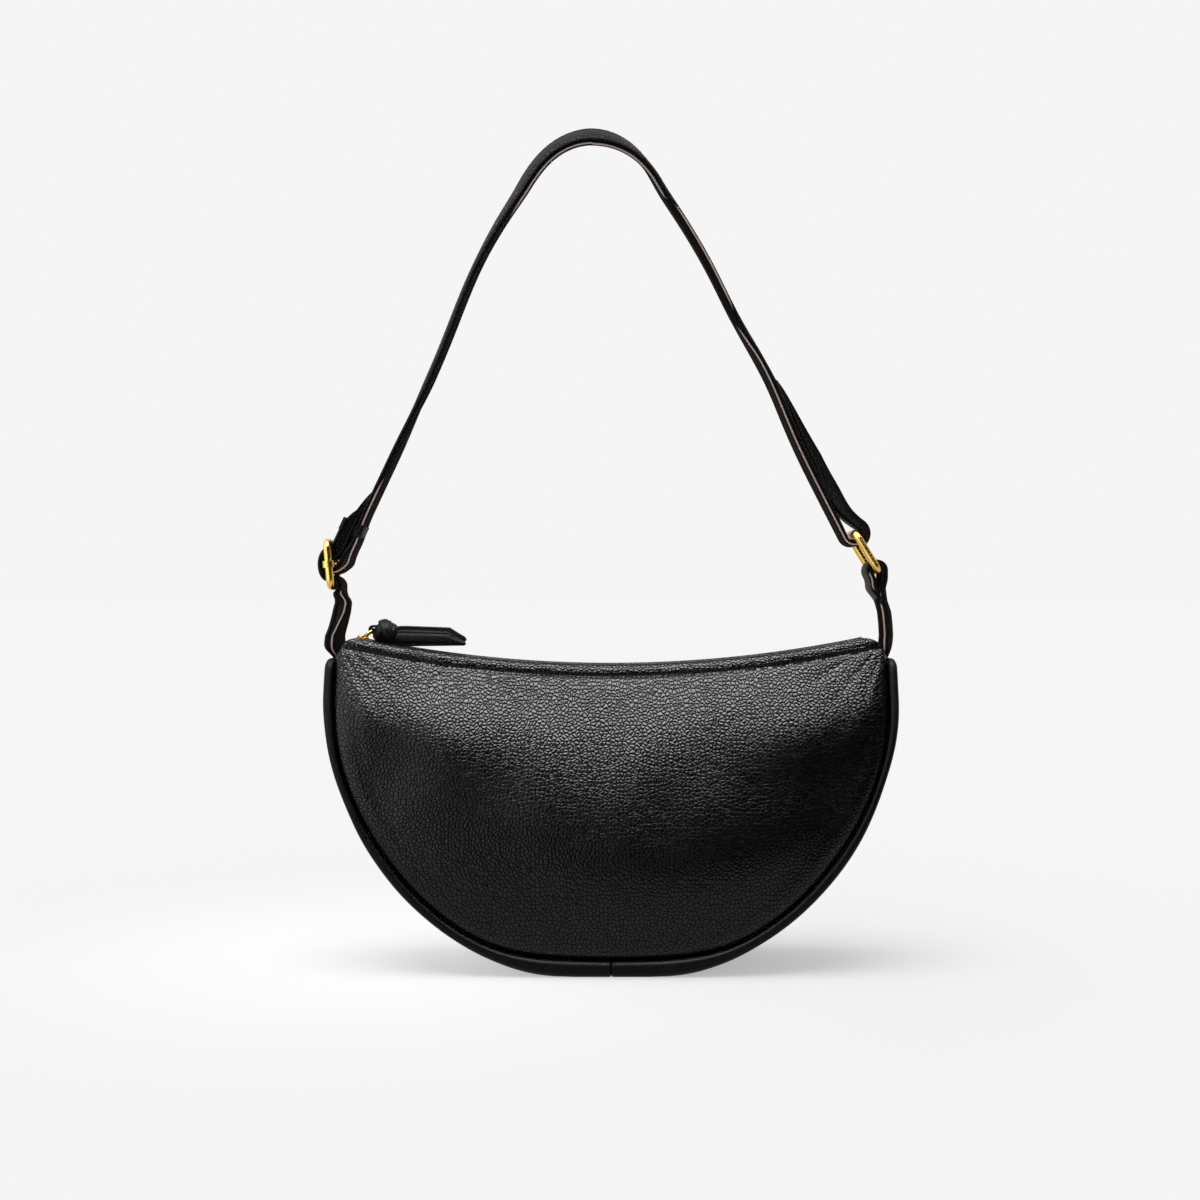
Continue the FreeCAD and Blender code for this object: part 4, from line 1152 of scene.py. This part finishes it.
def make_main_strap():
    """Shoulder strap: it swells where it runs free, and its pale raw edge wanders from side to side."""
    line = main_strap_line()
    form = StrapForm(line)
    x, z, heading = line.T
    left = x < SHOULDER[0]
    right = ~left
    folded = form.left < RIGHT_FOLD
    free = np.where(left, smooth_step(z, *LEFT_FREE), smooth_step(z, *RIGHT_FREE))
    top = smooth_step(-np.abs(heading), -TOP_SPREAD, 0.0) * (z > TOP_START)
    lean = np.where(left, LEFT_ROLL + LEFT_TWIST * smooth_step(z, *LEFT_TWIST_HEIGHTS), RIGHT_ROLL) * free
    form.roll = np.radians(lean + (TOP_ROLL - lean) * top)
    swell = FREE_SWELL * free * ~folded
    form.more_out = swell + DOUBLED_SWELL * right * ~folded * window(z, *DOUBLED)
    form.more_out += left * peaks(form.run, BAR_SWELL) - peaks(form.left, RING_ROOM)
    form.more_out += folded * peaks(z, FOLD_OUTER_BUMP)
    form.more_in = swell + folded * (FOLD_SWELL + peaks(z, FOLD_INNER_BUMP))
    hidden = left * window(z, *LEFT_HIDDEN) + right * peaks(z, *RIGHT_HIDDEN)
    form.shown = (1.0 - np.clip(hidden, 0.0, 1.0)) * (form.run > LEFT_FOLD) * (form.left > RIGHT_FOLD)
    form.outside = right * window(z, *RIGHT_CORE_OUTSIDE)
    form.outside += left * LEFT_CORE_OUTSIDE * smooth_step(z, *LEFT_CORE_HEIGHTS)
    form.held = 1.0
    form.round_tip(form.run, SKIVE)
    form.round_tip(form.left, 3.0 * SKIVE)
    push_left(line, left * peaks(z, LEG_BOW) * (form.run > LEG_BOW_START))
    line[:, :2] += (right * peaks(z, *RIGHT_BOW))[:, None] * RIGHT_OUT
    line[:, 1] += APEX_LIFT * top
    push_left(line, -peaks(z, APEX_TUCK))
    line[:, 0] += left * peaks(form.run, *BAR_PUSH)
    squeeze_bulge(line)
    line[:, :2] += (folded * STAND_OFF * smooth_step(z, *STAND_OFF_HEIGHTS))[:, None] * RIGHT_OUT
    strap_pieces("main_strap", form)
    strap_stitches("main_strap_stitches", form)


# Lower strap: x and the core's share of the thickness at heights, and where its form changes
LOWER_RUN = 34.0
LOWER_EASE = 5.0
LOWER_HEIGHTS = (147.0, 153.0, 160.0, 165.6, 171.4, 177.0, 182.0, 186.0)
LOWER_PLACES = (-132.5, -133.2, -133.4, -131.9, -130.5, -129.8, -131.0, -134.5)
LOWER_CORE = (0.55, 0.68, 0.66, 0.54, 0.34, 0.25, 0.28, 0.32)
LOWER_FULL = ((148.0, 155.0), (171.0, 189.0))
LOWER_ROLL = np.radians(-7.0)
LOWER_OUT = 3.9
LOWER_ROOT_BUMP = (155.0, 6.0, 1.3)
LOWER_IN = 1.5
LOWER_SHOWN_END = (182.0, 187.0)


def make_lower_strap():
    """Strap from the left corner through the adjuster, bent in an S below it, with a skived tail."""
    form = StrapForm(lower_strap_line())
    z = form.line[:, 1]
    low = form.run < LOWER_RUN
    form.round_root()
    form.round_tip(form.left, TIP_LENGTH)
    full = low * window(z, *LOWER_FULL)
    form.roll = LOWER_ROLL * full
    form.more_out = LOWER_OUT * full + low * peaks(z, LOWER_ROOT_BUMP)
    form.more_in = LOWER_IN * full
    form.outside = low * np.interp(z, LOWER_HEIGHTS, LOWER_CORE)
    form.shown = low * (1.0 - smooth_step(z, *LOWER_SHOWN_END))
    placed = np.interp(z, LOWER_HEIGHTS, LOWER_PLACES)
    share = low * (1.0 - smooth_step(form.run, LOWER_RUN - LOWER_EASE, LOWER_RUN))
    form.line[:, 0] += share * (placed - form.line[:, 0])
    squeeze_bulge(form.line)
    strap_pieces("lower_strap", form, -ROOT_X)


# Ring tab: x at heights, rising and folded back, and where its form changes
TAB_RUN = 46.0
TAB_HEIGHTS = (147.0, 153.0, 160.0, 165.6, 171.4, 177.0, 183.0, 188.0)
TAB_PLACES = (132.5, 133.6, 134.1, 133.8, 133.2, 131.7, 131.6, 132.7)
TAB_END_HEIGHTS = (166.0, 172.0, 178.0, 182.0, 186.0, 191.0)
TAB_END_PLACES = (131.6, 131.0, 129.8, 128.0, 126.6, 125.5)
TAB_FULL = ((146.0, 158.0), (170.0, 188.0))
TAB_ROLL = np.radians(7.0)
TAB_OUT = 2.2
TAB_IN = 0.9
TAB_SHOWN_END = (178.0, 182.0)
TAB_SHOWN_AGAIN = ((181.0, 184.0), (189.5, 191.5))
TAB_CORE = (0.3, 0.8)
TAB_PARED = 0.88
TAB_PARED_HEIGHTS = (172.0, 183.0)
TAB_EASE = (183.0, 189.0)


def make_ring_tab():
    """Tab from the right corner round the ring, with its end folded back along it."""
    form = StrapForm(ring_tab_line())
    z = form.line[:, 1]
    rising = form.run < TAB_RUN
    form.round_root()
    form.round_tip(form.left, TIP_LENGTH)
    form.face = -1.0
    full = rising * window(z, *TAB_FULL)
    form.roll = TAB_ROLL * full
    form.more_out = TAB_OUT * full
    form.more_in = TAB_IN * full
    form.shown = np.where(rising, 1.0 - smooth_step(z, *TAB_SHOWN_END), window(z, *TAB_SHOWN_AGAIN))
    form.outside = np.where(rising, *TAB_CORE)
    pared = 1.0 - TAB_PARED * (1.0 - smooth_step(z, *TAB_PARED_HEIGHTS))
    form.thin = np.where(rising, 1.0, np.minimum(form.thin, pared))
    placed = np.where(rising, np.interp(z, TAB_HEIGHTS, TAB_PLACES),
                      np.interp(z, TAB_END_HEIGHTS, TAB_END_PLACES))
    form.line[:, 0] += (1.0 - smooth_step(z, *TAB_EASE)) * (placed - form.line[:, 0])
    strap_pieces("ring_tab", form, ROOT_X)


# Keeper
KEEPER_LENGTH = 6.4
KEEPER_WALL = 0.45
KEEPER_PLAY = 0.12
KEEPER_ROOM = 0.5
KEEPER_RUN = 11.5
KEEPER_ROUND = 1.2
KEEPER_OUTER_ROUND = 2.3
KEEPER_SQUARE = 0.35


def make_keeper():
    """Leather band over the strap, its folded end and its tail."""
    high = PLY_STEP + STRAP_INNER + KEEPER_PLAY
    low = -high - KEEPER_ROOM
    half = STRAP_HALF + KEEPER_PLAY
    inside = rounded_section(low, high, half, KEEPER_ROUND, KEEPER_ROUND)
    outside = rounded_section(low - KEEPER_WALL, high + KEEPER_WALL, half + KEEPER_WALL, KEEPER_OUTER_ROUND,
                              KEEPER_OUTER_ROUND)
    rows = []
    for turn in full_turn(16):
        wall = 0.5 + 0.5 * squarer(math.cos(turn), KEEPER_SQUARE)
        run = KEEPER_RUN + KEEPER_LENGTH / 2.0 * squarer(math.sin(turn), KEEPER_SQUARE)
        line = np.array([[*beside_rail(1, run), MAIN_HEADING]])
        rows.append(sweep(line, (inside + (outside - inside) * wall)[None], [0.0])[0])
    piece = closed_piece("strap_keeper_leather", [ring_part(np.array(rows))], STRAP)
    ride(piece, "keeper", "strap_leather", "strap_keeper")


# Leather pull: loop, knot and tails.
# A wrap of the knot is its radii, its axis, its place along that axis, its width and its thickness.
PULL_HINGE = (-116.278, 162.784)
LOOP_ROUND = 1.5
LOOP_SECTION = rounded_section(-0.7, 0.5, 3.0, 0.5, 0.4)
LOOP_DEPTH = 3.0
KNOT_MIDDLE = (-108.88, 161.98)
KNOT_CENTRE = (KNOT_MIDDLE[0] - 1.2, 0.0, KNOT_MIDDLE[1] - 0.6)
KNOT_CORE = (6.0, 4.6, 5.6)
KNOT_WRAPS = (((6.0, 4.8, 5.5), (0.93, 0.1, 0.36), 0.12, 5.0, 2.2),
              ((5.8, 4.4, 4.9), (0.9, -0.15, -0.45), -0.42, 4.6, 2.4),
              ((5.6, 4.4, 4.7), (0.95, 0.2, -0.3), 0.6, 3.6, 2.0))
WRAP_SQUARE = (0.7, 0.8)
POLE_GAP = 0.06
TAIL_START = -108.4
TAIL_END = -70.9
TAIL_TIP = 10.0
TAIL_TIP_ROUND = 9.4
TAIL_DROP = 1.2
TAIL_RISE = 0.5
TAIL_TAPER = 1.4
TAIL_PINCH = 0.22
TAIL_PINCH_REACH = 4.0
TAIL_END_ROUND = 1.0
TAIL_END_LEAST = 0.05
TAIL_FACES = (-0.9, 1.1)
TAIL_ROUNDS = (0.8, 0.9, 1.0)
TAIL_APART = 1.15
TAIL_SPREAD = 0.4
TAIL_CURL = 0.3
TAIL_CURLS = 5.0


def make_pull_loop():
    """Thick leather loop round the ring, with both ends in the knot."""
    ends = KNOT_MIDDLE[0] - LOOP_DEPTH
    line = follow([(ends, PULL_HINGE[1] + LOOP_ROUND, 0.0), (*PULL_HINGE, LOOP_ROUND),
                   (ends, PULL_HINGE[1] - LOOP_ROUND, 0.0)])
    grid = sweep(line, np.array([LOOP_SECTION] * len(line)), np.zeros(len(line)))
    piece = closed_piece("pull_loop_leather", [tube_part(grid)], PULL)
    ride(piece, "leather_pull", "smooth_leather", "pull_loop")


def core_part():
    """Points and faces of the knot's rounded core."""
    turns = np.linspace(POLE_GAP, math.pi - POLE_GAP, 18)[:, None]
    around = full_turn(28)[None, :]
    ball = grid_of(np.cos(turns), np.sin(turns) * np.cos(around), np.sin(turns) * np.sin(around))
    return tube_part(ball * np.array(KNOT_CORE) + np.array(KNOT_CENTRE))


def unit(vectors):
    return vectors / np.linalg.norm(vectors, axis=-1, keepdims=True)


def wrap_part(radii, axis, offset, width, thickness):
    """Points and faces of one leather wrap round the knot's core."""
    axis = unit(np.array(axis))
    first = unit(np.cross(axis, [0.0, 1.0, 0.0]))
    second = np.cross(axis, first)
    angles = full_turn(56)[:, None]
    ring = axis * offset + math.sqrt(1.0 - offset ** 2) * (np.cos(angles) * first + np.sin(angles) * second)
    ring = ring * np.array(radii)
    tangent = unit(np.roll(ring, -1, axis=0) - np.roll(ring, 1, axis=0))
    normal = unit(ring / np.array(radii) ** 2)
    across = np.cross(tangent, normal)
    turns = full_turn(14)[None, :, None]
    flat = squarer(np.cos(turns), WRAP_SQUARE[0]) * width / 2.0
    high = squarer(np.sin(turns), WRAP_SQUARE[1]) * thickness / 2.0
    return ring_part(ring[:, None] + across[:, None] * flat + normal[:, None] * high + np.array(KNOT_CENTRE))


def make_knot():
    """Knot of wrapped leather over a rounded core."""
    parts = [core_part()] + [wrap_part(*wrap) for wrap in KNOT_WRAPS]
    piece = closed_piece("pull_knot_leather", parts, PULL)
    ride(piece, "leather_pull", "smooth_leather", "pull_knot")


def make_tail(name, side, node, low, high, slant, tip):
    """Flat tail between two heights, with a slanted end and a slight curl."""
    stations = np.concatenate([np.linspace(TAIL_START, TAIL_END - TAIL_TIP, 18),
                               np.linspace(TAIL_END - TAIL_TIP_ROUND, TAIL_END, 20)])
    rows = []
    for x in stations:
        share = (x - TAIL_START) / (TAIL_END - TAIL_START)
        cut = float(np.clip((x - (TAIL_END - slant)) / slant, 0.0, 1.0))
        base = low - TAIL_DROP + TAIL_RISE * share
        top = high - TAIL_TAPER * share
        top = top - (top - base - tip) * cut
        pinch = 1.0 - TAIL_PINCH * bump(x, TAIL_START, TAIL_PINCH_REACH)
        end = max(0.0, (x - TAIL_END + TAIL_END_ROUND) / TAIL_END_ROUND)
        half = (top - base) / 2.0 * pinch * math.sqrt(max(1.0 - end ** 2, TAIL_END_LEAST))
        section = rounded_section(*TAIL_FACES, half, *TAIL_ROUNDS)
        y = TAIL_APART + TAIL_SPREAD * share ** 2 + TAIL_CURL * math.sin(share * TAIL_CURLS + side)
        z = KNOT_MIDDLE[1] + (base + top) / 2.0
        rows.append(grid_of(x, side * (y + section[:, 0]), z + section[:, 1]))
    piece = closed_piece(name, [tube_part(np.array(rows))], PULL)
    ride(piece, "leather_pull", "smooth_leather", node)


# Zip slider: its plates' outline as (run, y), and the scale of that outline at heights from a plate's face
SLIDER_PLACE = -122.0
PLATE_LOW = 1.35
PLATE_HIGH = 2.25
PLATE_HALF = ((-4.0, 0.0), (-3.9, 1.4), (-3.2, 3.0), (-1.8, 4.0), (0.2, 4.2), (2.0, 3.9), (3.4, 3.3),
              (4.0, 2.4))
PLATE_LEVELS = ((0.0, 0.9), (0.12, 0.98), (0.3, 1.0))
POST_PLACE = -3.4
POST_RADII = (0.6, 0.4)
POST_HEIGHTS = (-2.0, 0.0, 2.0)
BAIL_TOP = 4.95
BAIL_HALF = 2.7
BAIL_SINK = 0.2
BAIL_ROOM = 0.3
BAIL_RADII = (0.5, 1.0)
BAIL_SQUARE = 0.7


def on_zip(run, y, height):
    """Points above the zip line at the slider, run to the right along the zip."""
    angle = math.asin(SLIDER_PLACE / ZIP_RADIUS)
    radius = ZIP_RADIUS - height
    return grid_of(radius * math.sin(angle) + run * math.cos(angle), y,
                   MOUTH_CENTRE - radius * math.cos(angle) + run * math.sin(angle))


def plate_part(low, high):
    """Slider plate: broad shoulders at one end, narrower at the other, with rounded edges."""
    run, y = np.array(PLATE_HALF + tuple((run, -y) for run, y in PLATE_HALF[:0:-1])).T
    levels = [(low + rise, scale) for rise, scale in PLATE_LEVELS]
    levels += [(high - rise, scale) for rise, scale in PLATE_LEVELS[::-1]]
    return tube_part(np.array([on_zip(run * scale, y * scale, height) for height, scale in levels]))


def make_slider():
    """Slider with two plates, a post between the rows of teeth and a rounded bail on top."""
    turns = full_turn(12)
    post = [on_zip(POST_PLACE + POST_RADII[0] * np.cos(turns), POST_RADII[1] * np.sin(turns), height)
            for height in POST_HEIGHTS]
    across = BAIL_RADII[0] * np.cos(full_turn(14))
    beside = BAIL_RADII[1] * np.sin(full_turn(14))
    bail = []
    for turn in np.linspace(0.0, math.pi, 25):
        run = -BAIL_HALF * squarer(math.cos(turn), BAIL_SQUARE)
        rise = (BAIL_TOP - PLATE_HIGH - BAIL_ROOM) * math.sin(turn) ** BAIL_SQUARE
        height = PLATE_HIGH - BAIL_SINK + rise
        bail.append(on_zip(run - math.cos(turn) * across, beside, height + math.sin(turn) * across))
    parts = [plate_part(PLATE_LOW, PLATE_HIGH), plate_part(-PLATE_HIGH, -PLATE_LOW),
             tube_part(np.array(post)), tube_part(np.array(bail))]
    piece = closed_piece("zip_slider_brass", parts, BRASS)
    ride(piece, "zip_slider", "brass", "zip_slider")


# Bag
make_panel("front_panel_leather", -1.0, "front_panel", 1.7)
make_panel("back_panel_leather", 1.0, "back_panel", 23.4)
make_mouth_stitches("mouth_stitches_front", -1.0)
make_mouth_stitches("mouth_stitches_back", 1.0)
make_gusset("gusset_left_leather", -1.0, "gusset_left")
make_gusset("gusset_right_leather", 1.0, "gusset_right")
make_lining_panel("lining_front_cloth", -1.0, "lining_front")
make_lining_panel("lining_back_cloth", 1.0, "lining_back")
make_lining_gusset("lining_gusset_cloth", "lining_gusset")
make_tape("zip_tape_front_cloth", -1.0, "zip_tape_front")
make_tape("zip_tape_back_cloth", 1.0, "zip_tape_back")
make_slider()
make_pull_loop()
make_knot()
make_tail("pull_tail_front_leather", -1.0, "pull_tail_front", low=-6.4, high=0.9, slant=9.0, tip=1.8)
make_tail("pull_tail_back_leather", 1.0, "pull_tail_back", low=-4.6, high=2.9, slant=8.0, tip=2.2)
make_main_strap()
make_lower_strap()
make_ring_tab()
make_keeper()

# CAD nodes that stay
for name in ("adjuster_frame", "adjuster_bar", "strap_ring", "pull_ring", "zip_teeth_front", "zip_teeth_back",
             "zip_stop_left", "zip_stop_right"):
    nodes[name].data.materials.clear()
    nodes[name].data.materials.append(TEETH if name.startswith("zip") else BRASS)


# Studio: the world's slopes are directions from -1 to 1
BACKGROUND = 0.913
AMBIENT = 0.45
SURROUND_DEPTH = (-0.35, 0.5)
FRONT_LEFT = 2.6
FRONT_LEFT_ACROSS = (-0.8, 0.1)
SOFTBOX = 26.0
SOFTBOX_LEFT = (-0.75, -0.3)
SOFTBOX_RIGHT = (0.5, 0.8)
SOFTBOX_FOOT = (0.72, 0.82)
SOFTBOX_HEAD = (0.87, 0.95)
SOFTBOX_DEPTH = (-0.25, -0.1)
FLOOR_REACH = 60.0
FLOOR_FRONT = -0.42
FLOOR_SHARE = 0.325
# Painted light: the floor is brighter round the bag, out to a reach in metres
PAINTED_GLOW_SHARE = 0.24
PAINTED_GLOW_REACH = 0.31
PAINTED_GLOW_PLACE = (-0.08, 0.02, 0.0)
KEY_STRENGTH = 0.95
KEY_SPREAD = math.radians(40.0)
KEY_HEADING = (0.1, 0.22, -0.97)
CAMERA_PLACE = (-0.0053, -0.85, 0.1772)
VIEW_HALF_WIDTH = 0.294
WHITE = (1.0, 1.0, 1.0, 1.0)


def make_floor():
    """Pale floor with a soft painted glow round the bag, which keeps the bag's shadow."""
    mesh = bpy.data.meshes.new("floor")
    corners = [(-FLOOR_REACH, FLOOR_FRONT, 0.0), (FLOOR_REACH, FLOOR_FRONT, 0.0),
               (FLOOR_REACH, FLOOR_REACH, 0.0), (-FLOOR_REACH, FLOOR_REACH, 0.0)]
    mesh.from_pydata(corners, [], [(0, 1, 2, 3)])
    material, tree = new_material("floor", Base_Color=(0.8, 0.8, 0.8, 1.0), Roughness=0.9,
                                  Specular_IOR_Level=0.0, Emission_Color=WHITE)
    # Painted light: a pool of light round the bag, added to the floor's emission for camera and reflection
    # rays.
    inputs = {"Location": PAINTED_GLOW_PLACE, "Scale": (PAINTED_GLOW_REACH, PAINTED_GLOW_REACH, PAINTED_GLOW_REACH), "Vector": tree.place}
    centred = tree.add("ShaderNodeMapping", "Vector", inputs, vector_type="TEXTURE")
    painted_glow = tree.add("ShaderNodeTexGradient", "Fac", {"Vector": centred}, gradient_type="QUADRATIC_SPHERE")
    level = tree.math("MULTIPLY_ADD", painted_glow, PAINTED_GLOW_SHARE, FLOOR_SHARE)
    tree.give(Emission_Strength=tree.math("MULTIPLY", tree.rays("Camera", "Glossy", "Transmission"), level))
    link("floor", mesh, material)


def make_world():
    """Pale surroundings, with a dark front and a broad softbox high in front that only reflections see."""
    world = bpy.data.worlds.new("studio")
    bpy.context.scene.world = world
    world.use_nodes = True
    tree = Nodes(world, "Background", "Generated")
    x = tree.add("ShaderNodeSeparateXYZ", "X", {"Vector": tree.place})
    y, z = (x.node.outputs[axis] for axis in "YZ")
    surround = tree.remap(y, *SURROUND_DEPTH, tree.remap(x, *FRONT_LEFT_ACROSS, FRONT_LEFT, 0.0), BACKGROUND)
    softbox = tree.remap(z, *SOFTBOX_FOOT, 0.0, SOFTBOX)
    for edge in (tree.remap(z, *SOFTBOX_HEAD, 1.0, 0.0), tree.remap(x, *SOFTBOX_LEFT),
                 tree.remap(x, *SOFTBOX_RIGHT, 1.0, 0.0), tree.remap(y, *SOFTBOX_DEPTH, 1.0, 0.0)):
        softbox = tree.math("MULTIPLY", softbox, edge)
    lit = tree.mix(tree.rays("Glossy", "Transmission"), AMBIENT, tree.math("ADD", surround, softbox))
    tree.give(Color=WHITE, Strength=tree.mix(tree.rays("Camera"), lit, BACKGROUND))


def make_key():
    """Soft sun overhead, for the floor's shadow."""
    lamp = bpy.data.lights.new("key", "SUN")
    lamp.energy = KEY_STRENGTH
    lamp.angle = KEY_SPREAD
    key = bpy.data.objects.new("key", lamp)
    bpy.context.scene.collection.objects.link(key)
    key.rotation_euler = Vector(KEY_HEADING).to_track_quat("-Z", "Y").to_euler()


def make_camera():
    data = bpy.data.cameras.new("camera")
    data.sensor_fit = "HORIZONTAL"
    data.angle = 2.0 * math.atan(VIEW_HALF_WIDTH / -CAMERA_PLACE[1])
    camera = bpy.data.objects.new("camera", data)
    bpy.context.scene.collection.objects.link(camera)
    camera.location = CAMERA_PLACE
    camera.rotation_euler = (math.pi / 2.0, 0.0, 0.0)
    bpy.context.scene.camera = camera


make_floor()
make_world()
make_key()
make_camera()
bpy.context.scene.view_settings.view_transform = "Standard"
